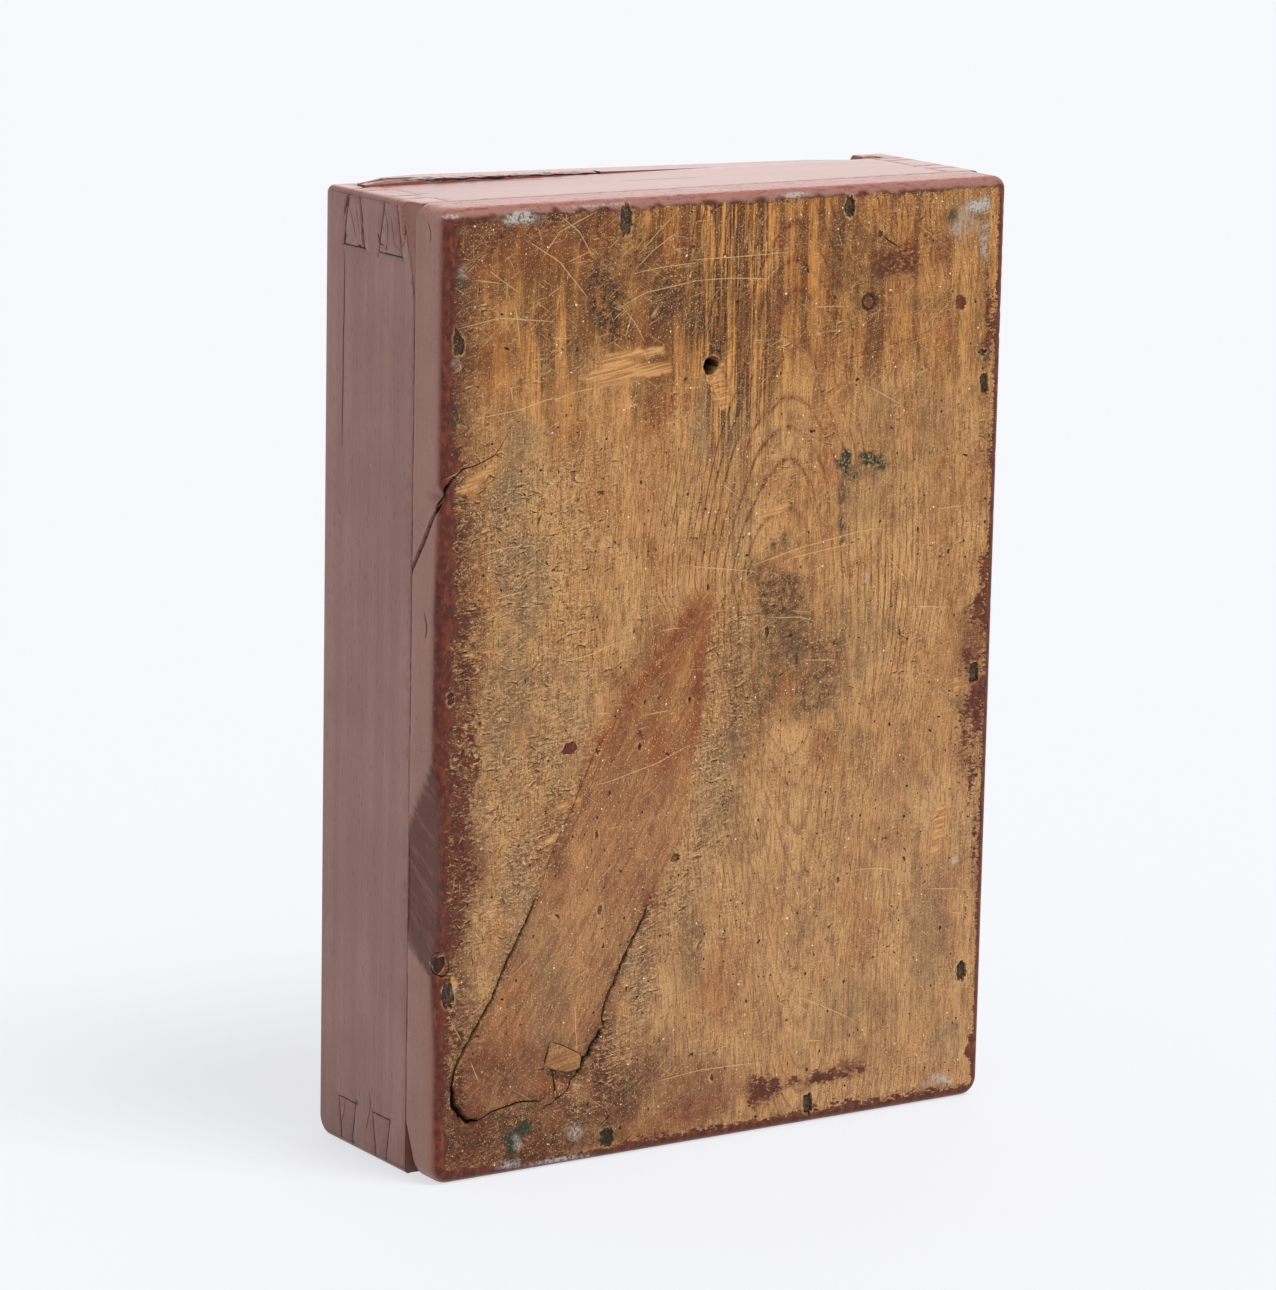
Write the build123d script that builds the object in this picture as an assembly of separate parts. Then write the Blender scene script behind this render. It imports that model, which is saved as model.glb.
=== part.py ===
from build123d import *
import os
from math import atan2, degrees

# Old dovetailed pine box with a sliding lid, standing on its closed end as photographed.
# Millimetres. X runs across the boards, Y from the nailed-on bottom board (-Y) to the lid (+Y),
# Z along the grain, up towards the end where the lid enters. The origin is the centre of the footprint.

# Overall sizes
box_length = 400.0
box_width = 276.5
frame_depth = 71.5

# Board thicknesses
bottom_thickness = 21.3
side_thickness = 16.0
entry_end_thickness = 22.5
closed_end_thickness = 19.5
lid_thickness = 13.5

# Grooves that carry the lid
groove_width = 7.2
groove_depth = 7.0
end_groove_depth = 6.0
lip_thickness = 9.0

# Fit of the sliding lid
lid_clearance = 0.3
lid_edge_clearance = 0.6
lid_end_clearance = 0.4

# Raised field of the lid and its finger notch
bevel_width = 24.0
notch_width = 46.0
notch_height = 15.0
notch_depth = 4.5
notch_from_end = 34.0

# The lid's outer end is sawn out of square: it stands proud at -X and short at +X
lid_end_middle_height = 0.5
lid_end_skew = 4.4
lid_tear_length = 104.0
lid_tear_depth = 3.2
lid_corner_wear_length = 14.0
lid_corner_wear_height = 2.2

# Dovetails, hand cut: the root width of each pin and the place of its middle above the joint plane
entry_pins = {"root_widths": (18.0, 16.4), "middles": (19.2, 48.2), "slope": 0.2}
closed_pins = {"root_widths": (13.6, 13.8), "middles": (19.5, 47.5), "slope": 0.16}
joint_gap = 0.3

# Worn corners and edges
frame_back_foot_radius = 8.0
frame_back_top_radius = 3.5
frame_side_edge_radius = 2.4
bottom_edge_radius = 4.0
bottom_corner_radii = {"top_left": 6.5, "top_right": 5.5, "foot_left": 9.0, "foot_right": 8.0}

# Forged nails: rectangular sunk head, square shank tapering to a point
nail_head_width = 4.4
nail_head_length = 8.6
nail_head_thickness = 1.8
nail_head_sunk = 1.2
nail_length = 41.0
nail_shank_width = 3.4
nail_tip_width = 1.2
nail_gap = 0.1
end_nail_inset = 8.8
nail_pocket_margin = 0.5

# Places of the nails: across the box for the ends, up the box for the sides
entry_nail_places = (-52.2, 57.6)
closed_nail_places = (-53.5, 48.0)
left_nail_heights = (80.5, 202.8, 345.6)
left_nail_insets = (6.8, 6.4, 8.2)
right_nail_heights = (56.3, 188.3, 312.8)
right_nail_insets = (11.2, 9.6, 9.0)

# Damage and marks of use on the bottom board and the left side
hole_diameter = 6.6
hole_across = -9.5
hole_height = 329.4
hole_depth = 17.0
facet_top = 184.0
facet_foot = 85.0
facet_depth = 3.8
facet_joint_depth = 0.4
gap_height = 26.0
gap_opening = 11.5
gap_reach = 17.0
tear_height = 286.0
tear_length = 15.0
tear_width = 4.5
chip_length = 46.0
chip_width = 11.5
chip_depth = 3.0

# Derived planes
box_depth = frame_depth + bottom_thickness
half_width = box_width / 2
front = -box_depth / 2
joint_plane = front + bottom_thickness
back = box_depth / 2
inner_half_width = half_width - side_thickness
groove_back = back - lip_thickness
groove_front = groove_back - groove_width
groove_floor = inner_half_width + groove_depth
entry_end_inside = box_length - entry_end_thickness
closed_groove_floor = closed_end_thickness - end_groove_depth
spare = 20.0


def block(x_range, y_range, z_range):
    """A box between two corners."""
    sizes = [high - low for low, high in (x_range, y_range, z_range)]
    middle = [(high + low) / 2 for low, high in (x_range, y_range, z_range)]
    return Pos(*middle) * Box(*sizes)


def rounded_outline(width_range, height_range, radii):
    """A rectangle face whose four corners are rounded one by one."""
    low_w, high_w = width_range
    low_h, high_h = height_range
    corners = {
        "foot_left": (low_w, low_h),
        "foot_right": (high_w, low_h),
        "top_right": (high_w, high_h),
        "top_left": (low_w, high_h),
    }
    face = Polygon(*corners.values(), align=None)
    for name, radius in radii.items():
        if radius > 0:
            corner = Vector(*corners[name])
            nearest = min(face.vertices(), key=lambda v: (Vector(v.X, v.Y) - corner).length)
            face = fillet(nearest, radius)
    return face


def along_x(outline_yz, x_range):
    """Extrude an outline drawn in Y and Z along X."""
    low, high = x_range
    return extrude(Plane.YZ.offset(low) * outline_yz, high - low, dir=(1, 0, 0))


def along_y(outline_xz, y_range):
    """Extrude an outline drawn in X and Z along Y."""
    low, high = y_range
    return extrude(Plane.XZ.offset(-low) * outline_xz, high - low, dir=(0, 1, 0))


def along_z(outline_xy, z_range):
    """Extrude an outline drawn in X and Y along Z."""
    low, high = z_range
    return extrude(Plane.XY.offset(low) * outline_xy, high - low, dir=(0, 0, 1))


def loft_in_y(points_a, y_a, points_b, y_b):
    """A straight-sided solid between two polygons drawn in X and Z at two depths."""
    first = Plane.XZ.offset(-y_a) * Polygon(*points_a, align=None)
    second = Plane.XZ.offset(-y_b) * Polygon(*points_b, align=None)
    return loft([first.face(), second.face()], ruled=True)


def loft_in_x(points_a, x_a, points_b, x_b):
    """A straight-sided solid between two polygons drawn in Y and Z at two places across."""
    first = Plane.YZ.offset(x_a) * Polygon(*points_a, align=None)
    second = Plane.YZ.offset(x_b) * Polygon(*points_b, align=None)
    return loft([first.face(), second.face()], ruled=True)


def frame_blank():
    """The worn outer form that the four frame boards share: every edge but the glued one rounded."""
    blank = block((-half_width, half_width), (joint_plane, back), (0, box_length))
    foot_edge = blank.faces().sort_by(Axis.Y)[-1].edges().filter_by(Axis.X).sort_by(Axis.Z)[0]
    blank = fillet(foot_edge, frame_back_foot_radius)
    top_edge = blank.faces().sort_by(Axis.Y)[-1].edges().filter_by(Axis.X).sort_by(Axis.Z)[-1]
    blank = fillet(top_edge, frame_back_top_radius)
    for side in (0, -1):
        outer_face = blank.faces().sort_by(Axis.X)[side]
        rim = [edge for edge in outer_face.edges() if edge.center().Y > joint_plane + 1]
        blank = fillet(rim, frame_side_edge_radius)
    return blank


def pin_outline(pins, number, baseline, outer_end, gap):
    """One dovetail pin seen on the side face: wide at its root, narrow at the outer end."""
    reach = abs(outer_end - baseline)
    middle = joint_plane + pins["middles"][number]
    root = pins["root_widths"][number] / 2 + gap
    outer = root - pins["slope"] * reach
    seat = baseline - gap if outer_end > baseline else baseline + gap
    return Polygon(
        (middle - root, seat), (middle + root, seat),
        (middle + outer, outer_end), (middle - outer, outer_end), align=None)


def all_pins(pins, baseline, outer_end, x_range, gap=0.0):
    """Both pins of one corner as bars that pass right through the side board."""
    bars = [along_x(pin_outline(pins, number, baseline, outer_end, gap), x_range)
            for number in range(len(pins["middles"]))]
    return bars[0] + bars[1:]


def nail_shank(x, z, gap=0.0):
    """The tapering square shank of one nail, driven in from the bottom board's face."""
    start = front + nail_head_sunk
    end = front + nail_length
    wide = nail_shank_width / 2 + gap
    narrow = nail_tip_width / 2 + gap
    root = [(x - wide, z - wide), (x + wide, z - wide), (x + wide, z + wide), (x - wide, z + wide)]
    tip = [(x - narrow, z - narrow), (x + narrow, z - narrow),
           (x + narrow, z + narrow), (x - narrow, z + narrow)]
    return loft_in_y(root, start, tip, end + gap)


def nail(x, z):
    """One forged nail: a rectangular head with hammered edges on a tapering shank."""
    head_range = (front + nail_head_sunk, front + nail_head_sunk + nail_head_thickness)
    head = block((x - nail_head_width / 2, x + nail_head_width / 2), head_range,
                 (z - nail_head_length / 2, z + nail_head_length / 2))
    outer_edges = head.faces().sort_by(Axis.Y)[0].edges()
    head = chamfer(outer_edges, nail_head_thickness / 3)
    return head + nail_shank(x, z)


def nail_pocket(x, z):
    """The hole that one nail head is sunk in, worn a little wider than the head."""
    half_w = nail_head_width / 2 + nail_pocket_margin
    half_l = nail_head_length / 2 + nail_pocket_margin
    floor = front + nail_head_sunk + nail_head_thickness + nail_gap
    return block((x - half_w, x + half_w), (front - spare, floor), (z - half_l, z + half_l))


def nail_places():
    """Where every nail stands, as X and Z pairs, by the edge that it holds."""
    left = [(-half_width + inset, height)
            for inset, height in zip(left_nail_insets, left_nail_heights)]
    right = [(half_width - inset, height)
             for inset, height in zip(right_nail_insets, right_nail_heights)]
    return {
        "nails_entry_end": [(x, box_length - end_nail_inset) for x in entry_nail_places],
        "nails_closed_end": [(x, end_nail_inset) for x in closed_nail_places],
        "nails_left_side": left,
        "nails_right_side": right,
    }


def drill_for_nails(board, group):
    """Take the shank holes of one group of nails out of a frame board."""
    for x, z in nail_places()[group]:
        board -= nail_shank(x, z, nail_gap)
    return board


def lid_groove(side):
    """The groove in one side board, open at both ends; side is -1 for left and 1 for right."""
    across = sorted((side * (inner_half_width - spare), side * groove_floor))
    return block(across, (groove_front, groove_back), (-spare, box_length + spare))


def side_board(side, nail_group):
    """One long side: tails at both ends, a groove for the lid, worn outer edges."""
    across = sorted((side * inner_half_width, side * half_width))
    board = frame_blank() & block(across, (joint_plane, back), (0, box_length))
    beyond = sorted((side * (inner_half_width - spare), side * (half_width + spare)))
    board -= all_pins(entry_pins, entry_end_inside, box_length, beyond, joint_gap)
    board -= all_pins(closed_pins, closed_end_thickness, 0, beyond, joint_gap)
    board -= lid_groove(side)
    return drill_for_nails(board, nail_group)


def make_side_left():
    """The left side, whose front tail is split away at the top corner."""
    board = side_board(-1, "nails_left_side")
    top = [(joint_plane - 1, box_length - chip_length), (joint_plane + chip_width, box_length + 1),
           (joint_plane - 1, box_length + 1)]
    root = [(joint_plane - 1, box_length - 1), (joint_plane + chip_width / 2, box_length + 1),
            (joint_plane - 1, box_length + 1)]
    return board - loft_in_x(top, -half_width - 0.5, root, -half_width + chip_depth)


def make_side_right():
    return side_board(1, "nails_right_side")


def make_end_entry():
    """The end that the lid slides over: lower than the sides by the lip and the groove."""
    edge = groove_front
    body = block((-inner_half_width, inner_half_width), (joint_plane, edge),
                 (entry_end_inside, box_length))
    pins = all_pins(entry_pins, entry_end_inside, box_length, (-half_width, half_width))
    pins &= block((-half_width, half_width), (joint_plane, edge), (entry_end_inside, box_length))
    return drill_for_nails(frame_blank() & (body + pins), "nails_entry_end")


def make_end_closed():
    """The full-height end, grooved inside for the lid's leading edge."""
    body = block((-inner_half_width, inner_half_width), (joint_plane, back), (0, closed_end_thickness))
    pins = all_pins(closed_pins, closed_end_thickness, 0, (-half_width, half_width))
    board = frame_blank() & (body + pins)
    board -= block((-inner_half_width - spare, inner_half_width + spare), (groove_front, groove_back),
                   (closed_groove_floor, closed_end_thickness + spare))
    return drill_for_nails(board, "nails_closed_end")


def make_lid():
    """The sliding lid: flat inside, its outer face bevelled down to tongues on three edges."""
    under = groove_front + lid_clearance
    field = under + lid_thickness
    tongue_top = groove_back - lid_clearance
    edge = groove_floor - lid_edge_clearance
    mouth = inner_half_width - lid_edge_clearance
    foot = closed_groove_floor + lid_end_clearance
    head = box_length + lid_end_middle_height + lid_end_skew
    end_mouth = closed_end_thickness + lid_edge_clearance
    section = Polygon(
        (-edge, under), (edge, under), (edge, tongue_top), (mouth, tongue_top),
        (mouth - bevel_width, field), (bevel_width - mouth, field), (-mouth, tongue_top),
        (-edge, tongue_top), align=None)
    lid = along_z(section, (foot, head))
    # The leading edge has the same tongue and bevel, for the groove in the closed end
    lid -= along_x(Polygon((tongue_top, foot - 1), (tongue_top, end_mouth), (field, end_mouth + bevel_width),
                           (field + 1, end_mouth + bevel_width), (field + 1, foot - 1), align=None),
                   (-edge - 1, edge + 1))
    # The outer end is sawn out of square
    tilt = degrees(atan2(lid_end_skew, box_width))
    saw = Pos(0, 0, box_length + lid_end_middle_height) * Rot(0, tilt, 0) * Pos(0, 0, spare)
    lid -= saw * Box(2 * box_width, box_depth * 2, 2 * spare)
    # The inner arris of that end is torn away on the left
    high = box_length + lid_end_middle_height + lid_end_skew / 2
    torn = [(under - 1, high - lid_tear_depth), (under + lid_tear_depth, high + 1), (under - 1, high + 1)]
    sound = [(under - 1, high - 0.5), (under + 0.2, high + 1), (under - 1, high + 1)]
    lid -= loft_in_x(torn, -edge - 1, sound, lid_tear_length - edge)
    # The left corner of that end is worn down
    worn = Polygon((-edge - 1, high - lid_corner_wear_height), (lid_corner_wear_length - edge, high),
                   (lid_corner_wear_length - edge, high + 1), (-edge - 1, high + 1), align=None)
    lid -= along_y(worn, (under - 1, field + 1))
    # A crescent cut for the fingers near the outer end
    radius = (notch_width ** 2 / 4 + notch_height ** 2) / (2 * notch_height)
    crescent = Circle(radius) & Pos(0, radius - notch_height / 2) * Rectangle(3 * radius, notch_height)
    low_chord = box_length - notch_from_end - radius
    bowl = along_y(Pos(0, low_chord) * crescent, (field - notch_depth, field + spare))
    slope = degrees(atan2(notch_depth, notch_height))
    ramp = Pos(0, field, low_chord + radius - notch_height) * Rot(slope, 0, 0)
    return lid - (bowl - ramp * Pos(0, -spare, 0) * Box(box_width, 2 * spare, 4 * notch_height))


def make_bottom_board():
    """The nailed-on bottom: rounded by wear, with its hole, planed facet, split corner and tear."""
    outline = rounded_outline((-half_width, half_width), (0, box_length), bottom_corner_radii)
    board = along_y(outline, (front, joint_plane))
    board = fillet(board.faces().sort_by(Axis.Y)[0].edges(), bottom_edge_radius)
    for places in nail_places().values():
        for x, z in places:
            board -= nail_pocket(x, z)
            board -= nail_shank(x, z, nail_gap)
    board -= along_y(Pos(hole_across, hole_height) * Circle(hole_diameter / 2), (front - 1, front + hole_depth))
    board -= planed_facet()
    board -= split_corner()
    return board - torn_edge()


def planed_facet():
    """The flat planed off the left edge: deep at the face, running out at the joint."""
    outside = -half_width - spare
    run = (facet_top - facet_foot) / 4
    at_face = [(outside, facet_foot), (-half_width, facet_foot), (-half_width + facet_depth, facet_foot + run),
               (-half_width + facet_depth, facet_top - run), (-half_width, facet_top), (outside, facet_top)]
    low = facet_foot + run / 2
    high = facet_top - 1.5 * run
    at_joint = [(outside, low), (-half_width, low), (-half_width + facet_joint_depth, low + run / 2),
                (-half_width + facet_joint_depth, high - run / 2), (-half_width, high), (outside, high)]
    return loft_in_y(at_face, front - 1, at_joint, joint_plane + 1)


def split_corner():
    """The wedge split out of the foot of the left edge, open towards the frame."""
    outer = [(joint_plane + 1, gap_height), (joint_plane + 1, -1), (joint_plane - gap_opening, -1)]
    inner = [(joint_plane + 1, gap_height / 4), (joint_plane + 1, -1), (joint_plane - gap_opening / 5, -1)]
    return loft_in_x(outer, -half_width - 1, inner, -half_width + gap_reach)


def torn_edge():
    """The small tear in the left arris, above the middle."""
    face_side = [(-half_width - 1, tear_height - tear_length / 2), (-half_width + tear_width, tear_height),
                 (-half_width - 1, tear_height + tear_length / 2)]
    side_side = [(-half_width - 1, tear_height - tear_length / 5), (-half_width + 0.3, tear_height - 2),
                 (-half_width - 1, tear_height)]
    return loft_in_y(face_side, front - 0.5, side_side, front + bottom_thickness / 2)


def make_nails(group):
    """All the nails along one edge, as separate solids."""
    return Compound(children=[nail(x, z).solid() for x, z in nail_places()[group]])


nodes = {
    "bottom_board": make_bottom_board(),
    "side_left": make_side_left(),
    "side_right": make_side_right(),
    "end_entry": make_end_entry(),
    "end_closed": make_end_closed(),
    "lid": make_lid(),
}
for nail_group in nail_places():
    nodes[nail_group] = make_nails(nail_group)

os.makedirs("parts", exist_ok=True)
for name, shape in nodes.items():
    export_step(shape, f"parts/{name}.step")
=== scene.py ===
from math import ceil, cos, pi, radians, sin, tau

import bpy
import numpy as np
from mathutils import Matrix, Vector
from mathutils.geometry import delaunay_2d_cdt
from mathutils.kdtree import KDTree


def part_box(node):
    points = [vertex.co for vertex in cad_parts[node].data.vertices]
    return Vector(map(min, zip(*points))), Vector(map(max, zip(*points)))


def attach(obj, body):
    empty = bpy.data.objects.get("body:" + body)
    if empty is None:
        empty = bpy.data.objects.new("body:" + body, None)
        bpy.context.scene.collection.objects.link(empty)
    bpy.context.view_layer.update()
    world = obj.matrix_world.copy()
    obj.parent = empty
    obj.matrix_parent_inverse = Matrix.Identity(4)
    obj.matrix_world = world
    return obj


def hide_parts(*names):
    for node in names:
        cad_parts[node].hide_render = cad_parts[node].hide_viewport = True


# Old dovetailed pine box with a sliding lid, seen from its nailed-on bottom board.
# Sizes are in millimetres and turn into metres when a mesh, a material or the camera is made.
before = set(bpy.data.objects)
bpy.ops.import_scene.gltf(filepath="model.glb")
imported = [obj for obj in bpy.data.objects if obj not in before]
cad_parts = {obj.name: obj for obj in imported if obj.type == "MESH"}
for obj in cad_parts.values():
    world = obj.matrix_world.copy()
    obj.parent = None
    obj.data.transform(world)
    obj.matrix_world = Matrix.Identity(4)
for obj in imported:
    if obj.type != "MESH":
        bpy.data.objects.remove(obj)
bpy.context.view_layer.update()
MM = 0.001

# The bottom board, read from the frame
board_low, board_high = [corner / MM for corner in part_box("bottom_board")]
half_width = board_high.x
board_length = board_high.z
front = board_low.y
joint_plane = board_high.y
board_thickness = joint_plane - front
box_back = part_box("end_closed")[1].y / MM

# Worn outline of the bottom board
arris_radius = 4.0
corner_radii = {"foot_left": 9.0, "foot_right": 8.0, "top_right": 5.5, "top_left": 6.5}
arris_reach = arris_radius * pi / 2
wrap_reach = arris_reach + board_thickness - arris_radius

# The frame boards
inner_half_width = half_width - 16.0
closed_end_inside = 19.5
entry_end_inside = board_length - 22.5
groove_front = 30.2
groove_back = 37.4
groove_floor = inner_half_width + 7.0
closed_groove_floor = 13.5

# The planed facet, the split corner and the tear on the left edge
facet_top = 184.0
facet_foot = 85.0
facet_depth = 3.8
facet_joint_depth = 0.4
gap_height = 26.0
gap_opening = 11.5
gap_reach = 17.0
tear_height = 286.0
tear_length = 15.0
tear_width = 4.5

# The camera, solved on the straight edges of the box in the photograph of 1276 by 1290 pixels
photo_width = 1276
photo_height = 1290
focal_pixels = 5448.5
camera_place = Vector((-1235.3, -1870.6, 666.5))
camera_yaw = radians(-33.172)
camera_pitch = radians(11.667)
camera_roll = radians(1.13)


def direction(azimuth, elevation):
    """A direction away from the box: azimuth 0 is out of its bottom board, and positive is to the right."""
    return Vector((sin(azimuth) * cos(elevation), -cos(azimuth) * cos(elevation), sin(elevation)))


def camera_axes():
    """The camera's right, up and back directions as the columns of a matrix."""
    back = direction(camera_yaw, camera_pitch)
    right = Vector((0, 0, 1)).cross(back).normalized()
    up = back.cross(right)
    turned_right = right * cos(camera_roll) + up * sin(camera_roll)
    turned_up = up * cos(camera_roll) - right * sin(camera_roll)
    return Matrix((turned_right, turned_up, back)).transposed()


camera_turn = camera_axes()


def on_plane(pixel, axis, value):
    """Where the sight line through a pixel of the photograph meets a plane square to one axis."""
    across = (pixel[0] - photo_width / 2) / focal_pixels
    down = (pixel[1] - photo_height / 2) / focal_pixels
    sight = camera_turn @ Vector((across, -down, -1))
    return camera_place + sight * (value - camera_place[axis]) / sight[axis]


def pixels_of(points):
    """The pixels of the photograph at which points are seen."""
    seen = (points - np.array(camera_place)) @ np.array(camera_turn)
    across = photo_width / 2 - focal_pixels * seen[:, 0] / seen[:, 2]
    down = photo_height / 2 + focal_pixels * seen[:, 1] / seen[:, 2]
    return np.stack([across, down], 1)


def on_face(pixel):
    """Where a pixel lies on the bottom board's face, as X and Z."""
    point = on_plane(pixel, 1, front)
    return point.x, point.z


def face_line(pixels):
    """Pixels on the bottom board's face, as rows of X and Z."""
    return np.array([on_face(pixel) for pixel in pixels])


def on_left_side(pixel):
    """Where a pixel lies on the left side of the box, as Y and Z."""
    point = on_plane(pixel, 0, -half_width)
    return point.y, point.z


def on_board_side(pixel):
    """Where a pixel lies on the bottom board's left side, as flat coordinates of the wrapped board."""
    y, z = on_left_side(pixel)
    return -half_width + arris_radius - arris_reach - (y - front - arris_radius), z


def on_top(pixel):
    """Where a pixel lies on the top of the box, as X and Y."""
    point = on_plane(pixel, 2, board_length)
    return point.x, point.y


# Helpers that work on many points at once

def smooth(values, low, high):
    """0 below low, 1 above high and a soft step between."""
    t = np.clip((values - low) / (high - low), 0, 1)
    return t * t * (3 - 2 * t)


def ripple(points, size, seed, waves=14):
    """Smooth noise between about -1 and 1 whose bumps are about size millimetres across."""
    draw = np.random.default_rng(seed)
    total = np.zeros(len(points))
    for _ in range(waves):
        angle, phase = draw.uniform(0, tau, 2)
        length = 2 * size * draw.uniform(0.7, 1.6)
        total += np.cos((points[:, 0] * cos(angle) + points[:, 1] * sin(angle)) * tau / length + phase)
    return total / np.sqrt(waves)


def near_box(points, low, high):
    """The numbers of the points inside a flat box."""
    return np.flatnonzero(((points > low) & (points < high)).all(1))


def spot(points, pixel, half_across, half_up, seed):
    """1 in the middle of a ragged ellipse on the face, falling to 0 at its edge."""
    middle = np.array(on_face(pixel))
    reach = 2 * max(half_across, half_up)
    near = near_box(points, middle - reach, middle + reach)
    across, along = ((points[near] - middle) / (half_across, half_up)).T
    radius = np.hypot(across, along) + 0.25 * ripple(points[near], min(half_across, half_up), seed)
    share = np.zeros(len(points))
    share[near] = 1 - smooth(radius, 0.35, 1.15)
    return share


def line_distance(points, line):
    """Distance of every point to a polyline, and how far along it (0 to 1) the nearest place is."""
    line = np.asarray(line, float)
    steps = np.hypot(*(line[1:] - line[:-1]).T)
    starts = np.concatenate(([0], np.cumsum(steps)))
    best = np.full(len(points), 1e9)
    place = np.zeros(len(points))
    for number, step in enumerate(steps):
        run = (line[number + 1] - line[number]) / step
        t = np.clip((points - line[number]) @ run, 0, step)
        distance = np.hypot(*(points - line[number] - t[:, None] * run).T)
        closer = distance < best
        best[closer] = distance[closer]
        place[closer] = ((starts[number] + t) / starts[-1])[closer]
    return best, place


def resample(line, step):
    """A polyline through the same points, with a new point about every step millimetres."""
    line = np.asarray(line, float)
    lengths = np.hypot(*(line[1:] - line[:-1]).T)
    travelled = np.concatenate(([0], np.cumsum(lengths)))
    count = max(2, int(round(travelled[-1] / step)) + 1)
    places = np.linspace(0, travelled[-1], count)
    return np.stack([np.interp(places, travelled, line[:, axis]) for axis in (0, 1)], 1)


def inside_edges(points, starts, ends):
    """Whether each point lies inside the closed outlines made by some edges."""
    x, z = points.T
    inside = np.zeros(len(points), bool)
    for (x1, z1), (x2, z2) in zip(starts, ends):
        if z1 != z2:
            inside ^= ((z1 > z) != (z2 > z)) & (x < (x2 - x1) * (z - z1) / (z2 - z1) + x1)
    return inside


def inside_polygon(points, polygon):
    """Whether each point lies inside a closed outline."""
    return inside_edges(points, polygon, np.roll(polygon, -1, 0))


def patch(points, pixels, soft, ragged=0.0, seed=1):
    """1 inside an outline of photograph pixels on the face, falling to 0 over a soft edge."""
    outline = face_line(pixels)
    near = near_box(points, outline.min(0) - 2 * soft, outline.max(0) + 2 * soft)
    distance, _ = line_distance(points[near], np.concatenate([outline, outline[:1]]))
    distance = np.where(inside_polygon(points[near], outline), distance, -distance)
    distance += ragged * ripple(points[near], 2.5, seed)
    share = np.zeros(len(points))
    share[near] = smooth(distance, -soft, soft)
    return share


# The worn outline: nearest point, outward direction and distance outside the flat part of the face

corner_signs = {"foot_left": (-1, -1), "foot_right": (1, -1), "top_right": (1, 1), "top_left": (-1, 1)}
face_low = np.array((-half_width + arris_radius, arris_radius))
face_high = np.array((half_width - arris_radius, board_length - arris_radius))


def corner_centre(name):
    """The middle of one worn corner's arc."""
    radius = corner_radii[name]
    sign_x, sign_z = corner_signs[name]
    height = radius if sign_z < 0 else board_length - radius
    return np.array((sign_x * (half_width - radius), height))


def outside_face(points):
    """How far each point lies outside the flat part of the face, with the way out and the nearest place."""
    sides = np.stack([face_low[0] - points[:, 0], points[:, 0] - face_high[0],
                      face_low[1] - points[:, 1], points[:, 1] - face_high[1]], 1)
    side = sides.argmax(1)
    distance = sides.max(1)
    ways = np.array(((-1.0, 0.0), (1.0, 0.0), (0.0, -1.0), (0.0, 1.0)))[side]
    for name, signs in corner_signs.items():
        centre = corner_centre(name)
        away = points - centre
        beyond = (away[:, 0] * signs[0] > 0) & (away[:, 1] * signs[1] > 0)
        reach = np.maximum(np.hypot(*away.T), 1e-9)
        distance[beyond] = (reach - (corner_radii[name] - arris_radius))[beyond]
        ways[beyond] = (away / reach[:, None])[beyond]
    nearest = np.where(distance[:, None] > 0, points - ways * distance[:, None], points)
    return distance, ways, nearest


def ring_points(offset, straight_step):
    """Points round the outline at one distance outside the flat part of the face."""
    quarter = pi / 2
    corner_steps = 10
    arcs = []
    for number, name in enumerate(corner_signs):
        radius = corner_radii[name] - arris_radius + offset
        turns = pi + number * quarter + quarter * np.arange(corner_steps + 1) / corner_steps
        arcs.append(corner_centre(name) + radius * np.stack([np.cos(turns), np.sin(turns)], 1))
    ring = []
    for arc, following in zip(arcs, arcs[1:] + arcs[:1]):
        gap = following[0] - arc[-1]
        count = int(np.hypot(*gap) / straight_step)
        ring.extend(arc)
        ring.extend(arc[-1] + gap * k / count for k in range(1, count))
    return np.array(ring)


def wrap(points, sunk):
    """Lay flat points on the board's face, its rounded arris and its sides, sunk inwards by some depth."""
    distance, ways, nearest = outside_face(points)
    angle = np.clip(distance / arris_radius, 0, pi / 2)
    straight = np.clip(distance - arris_reach, 0, None)
    outward = arris_radius * np.sin(angle)
    place = nearest + ways * outward[:, None]
    depth = arris_radius * (1 - np.cos(angle)) + straight
    x = place[:, 0] - ways[:, 0] * np.sin(angle) * sunk
    z = place[:, 1] - ways[:, 1] * np.sin(angle) * sunk
    y = front + depth + np.cos(angle) * sunk
    return np.stack([x, y, z], 1)


def facet_x(y, z):
    """X of the planed facet on the left side, for places on that side."""
    share = (y - front + 1) / (board_thickness + 2)
    run = (facet_top - facet_foot) / 4
    at_face = np.array((facet_foot, facet_foot + run, facet_top - run, facet_top))
    low = facet_foot + run / 2
    high = facet_top - 1.5 * run
    at_joint = np.array((low, low + run / 2, high - run / 2, high))
    foot, foot_end, top_start, top = [a + (b - a) * share for a, b in zip(at_face, at_joint)]
    depth = facet_depth + (facet_joint_depth - facet_depth) * share
    rise = np.clip((z - foot) / (foot_end - foot), 0, 1)
    fall = np.clip((top - z) / (top - top_start), 0, 1)
    return -half_width + depth * np.minimum(rise, fall)


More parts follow.
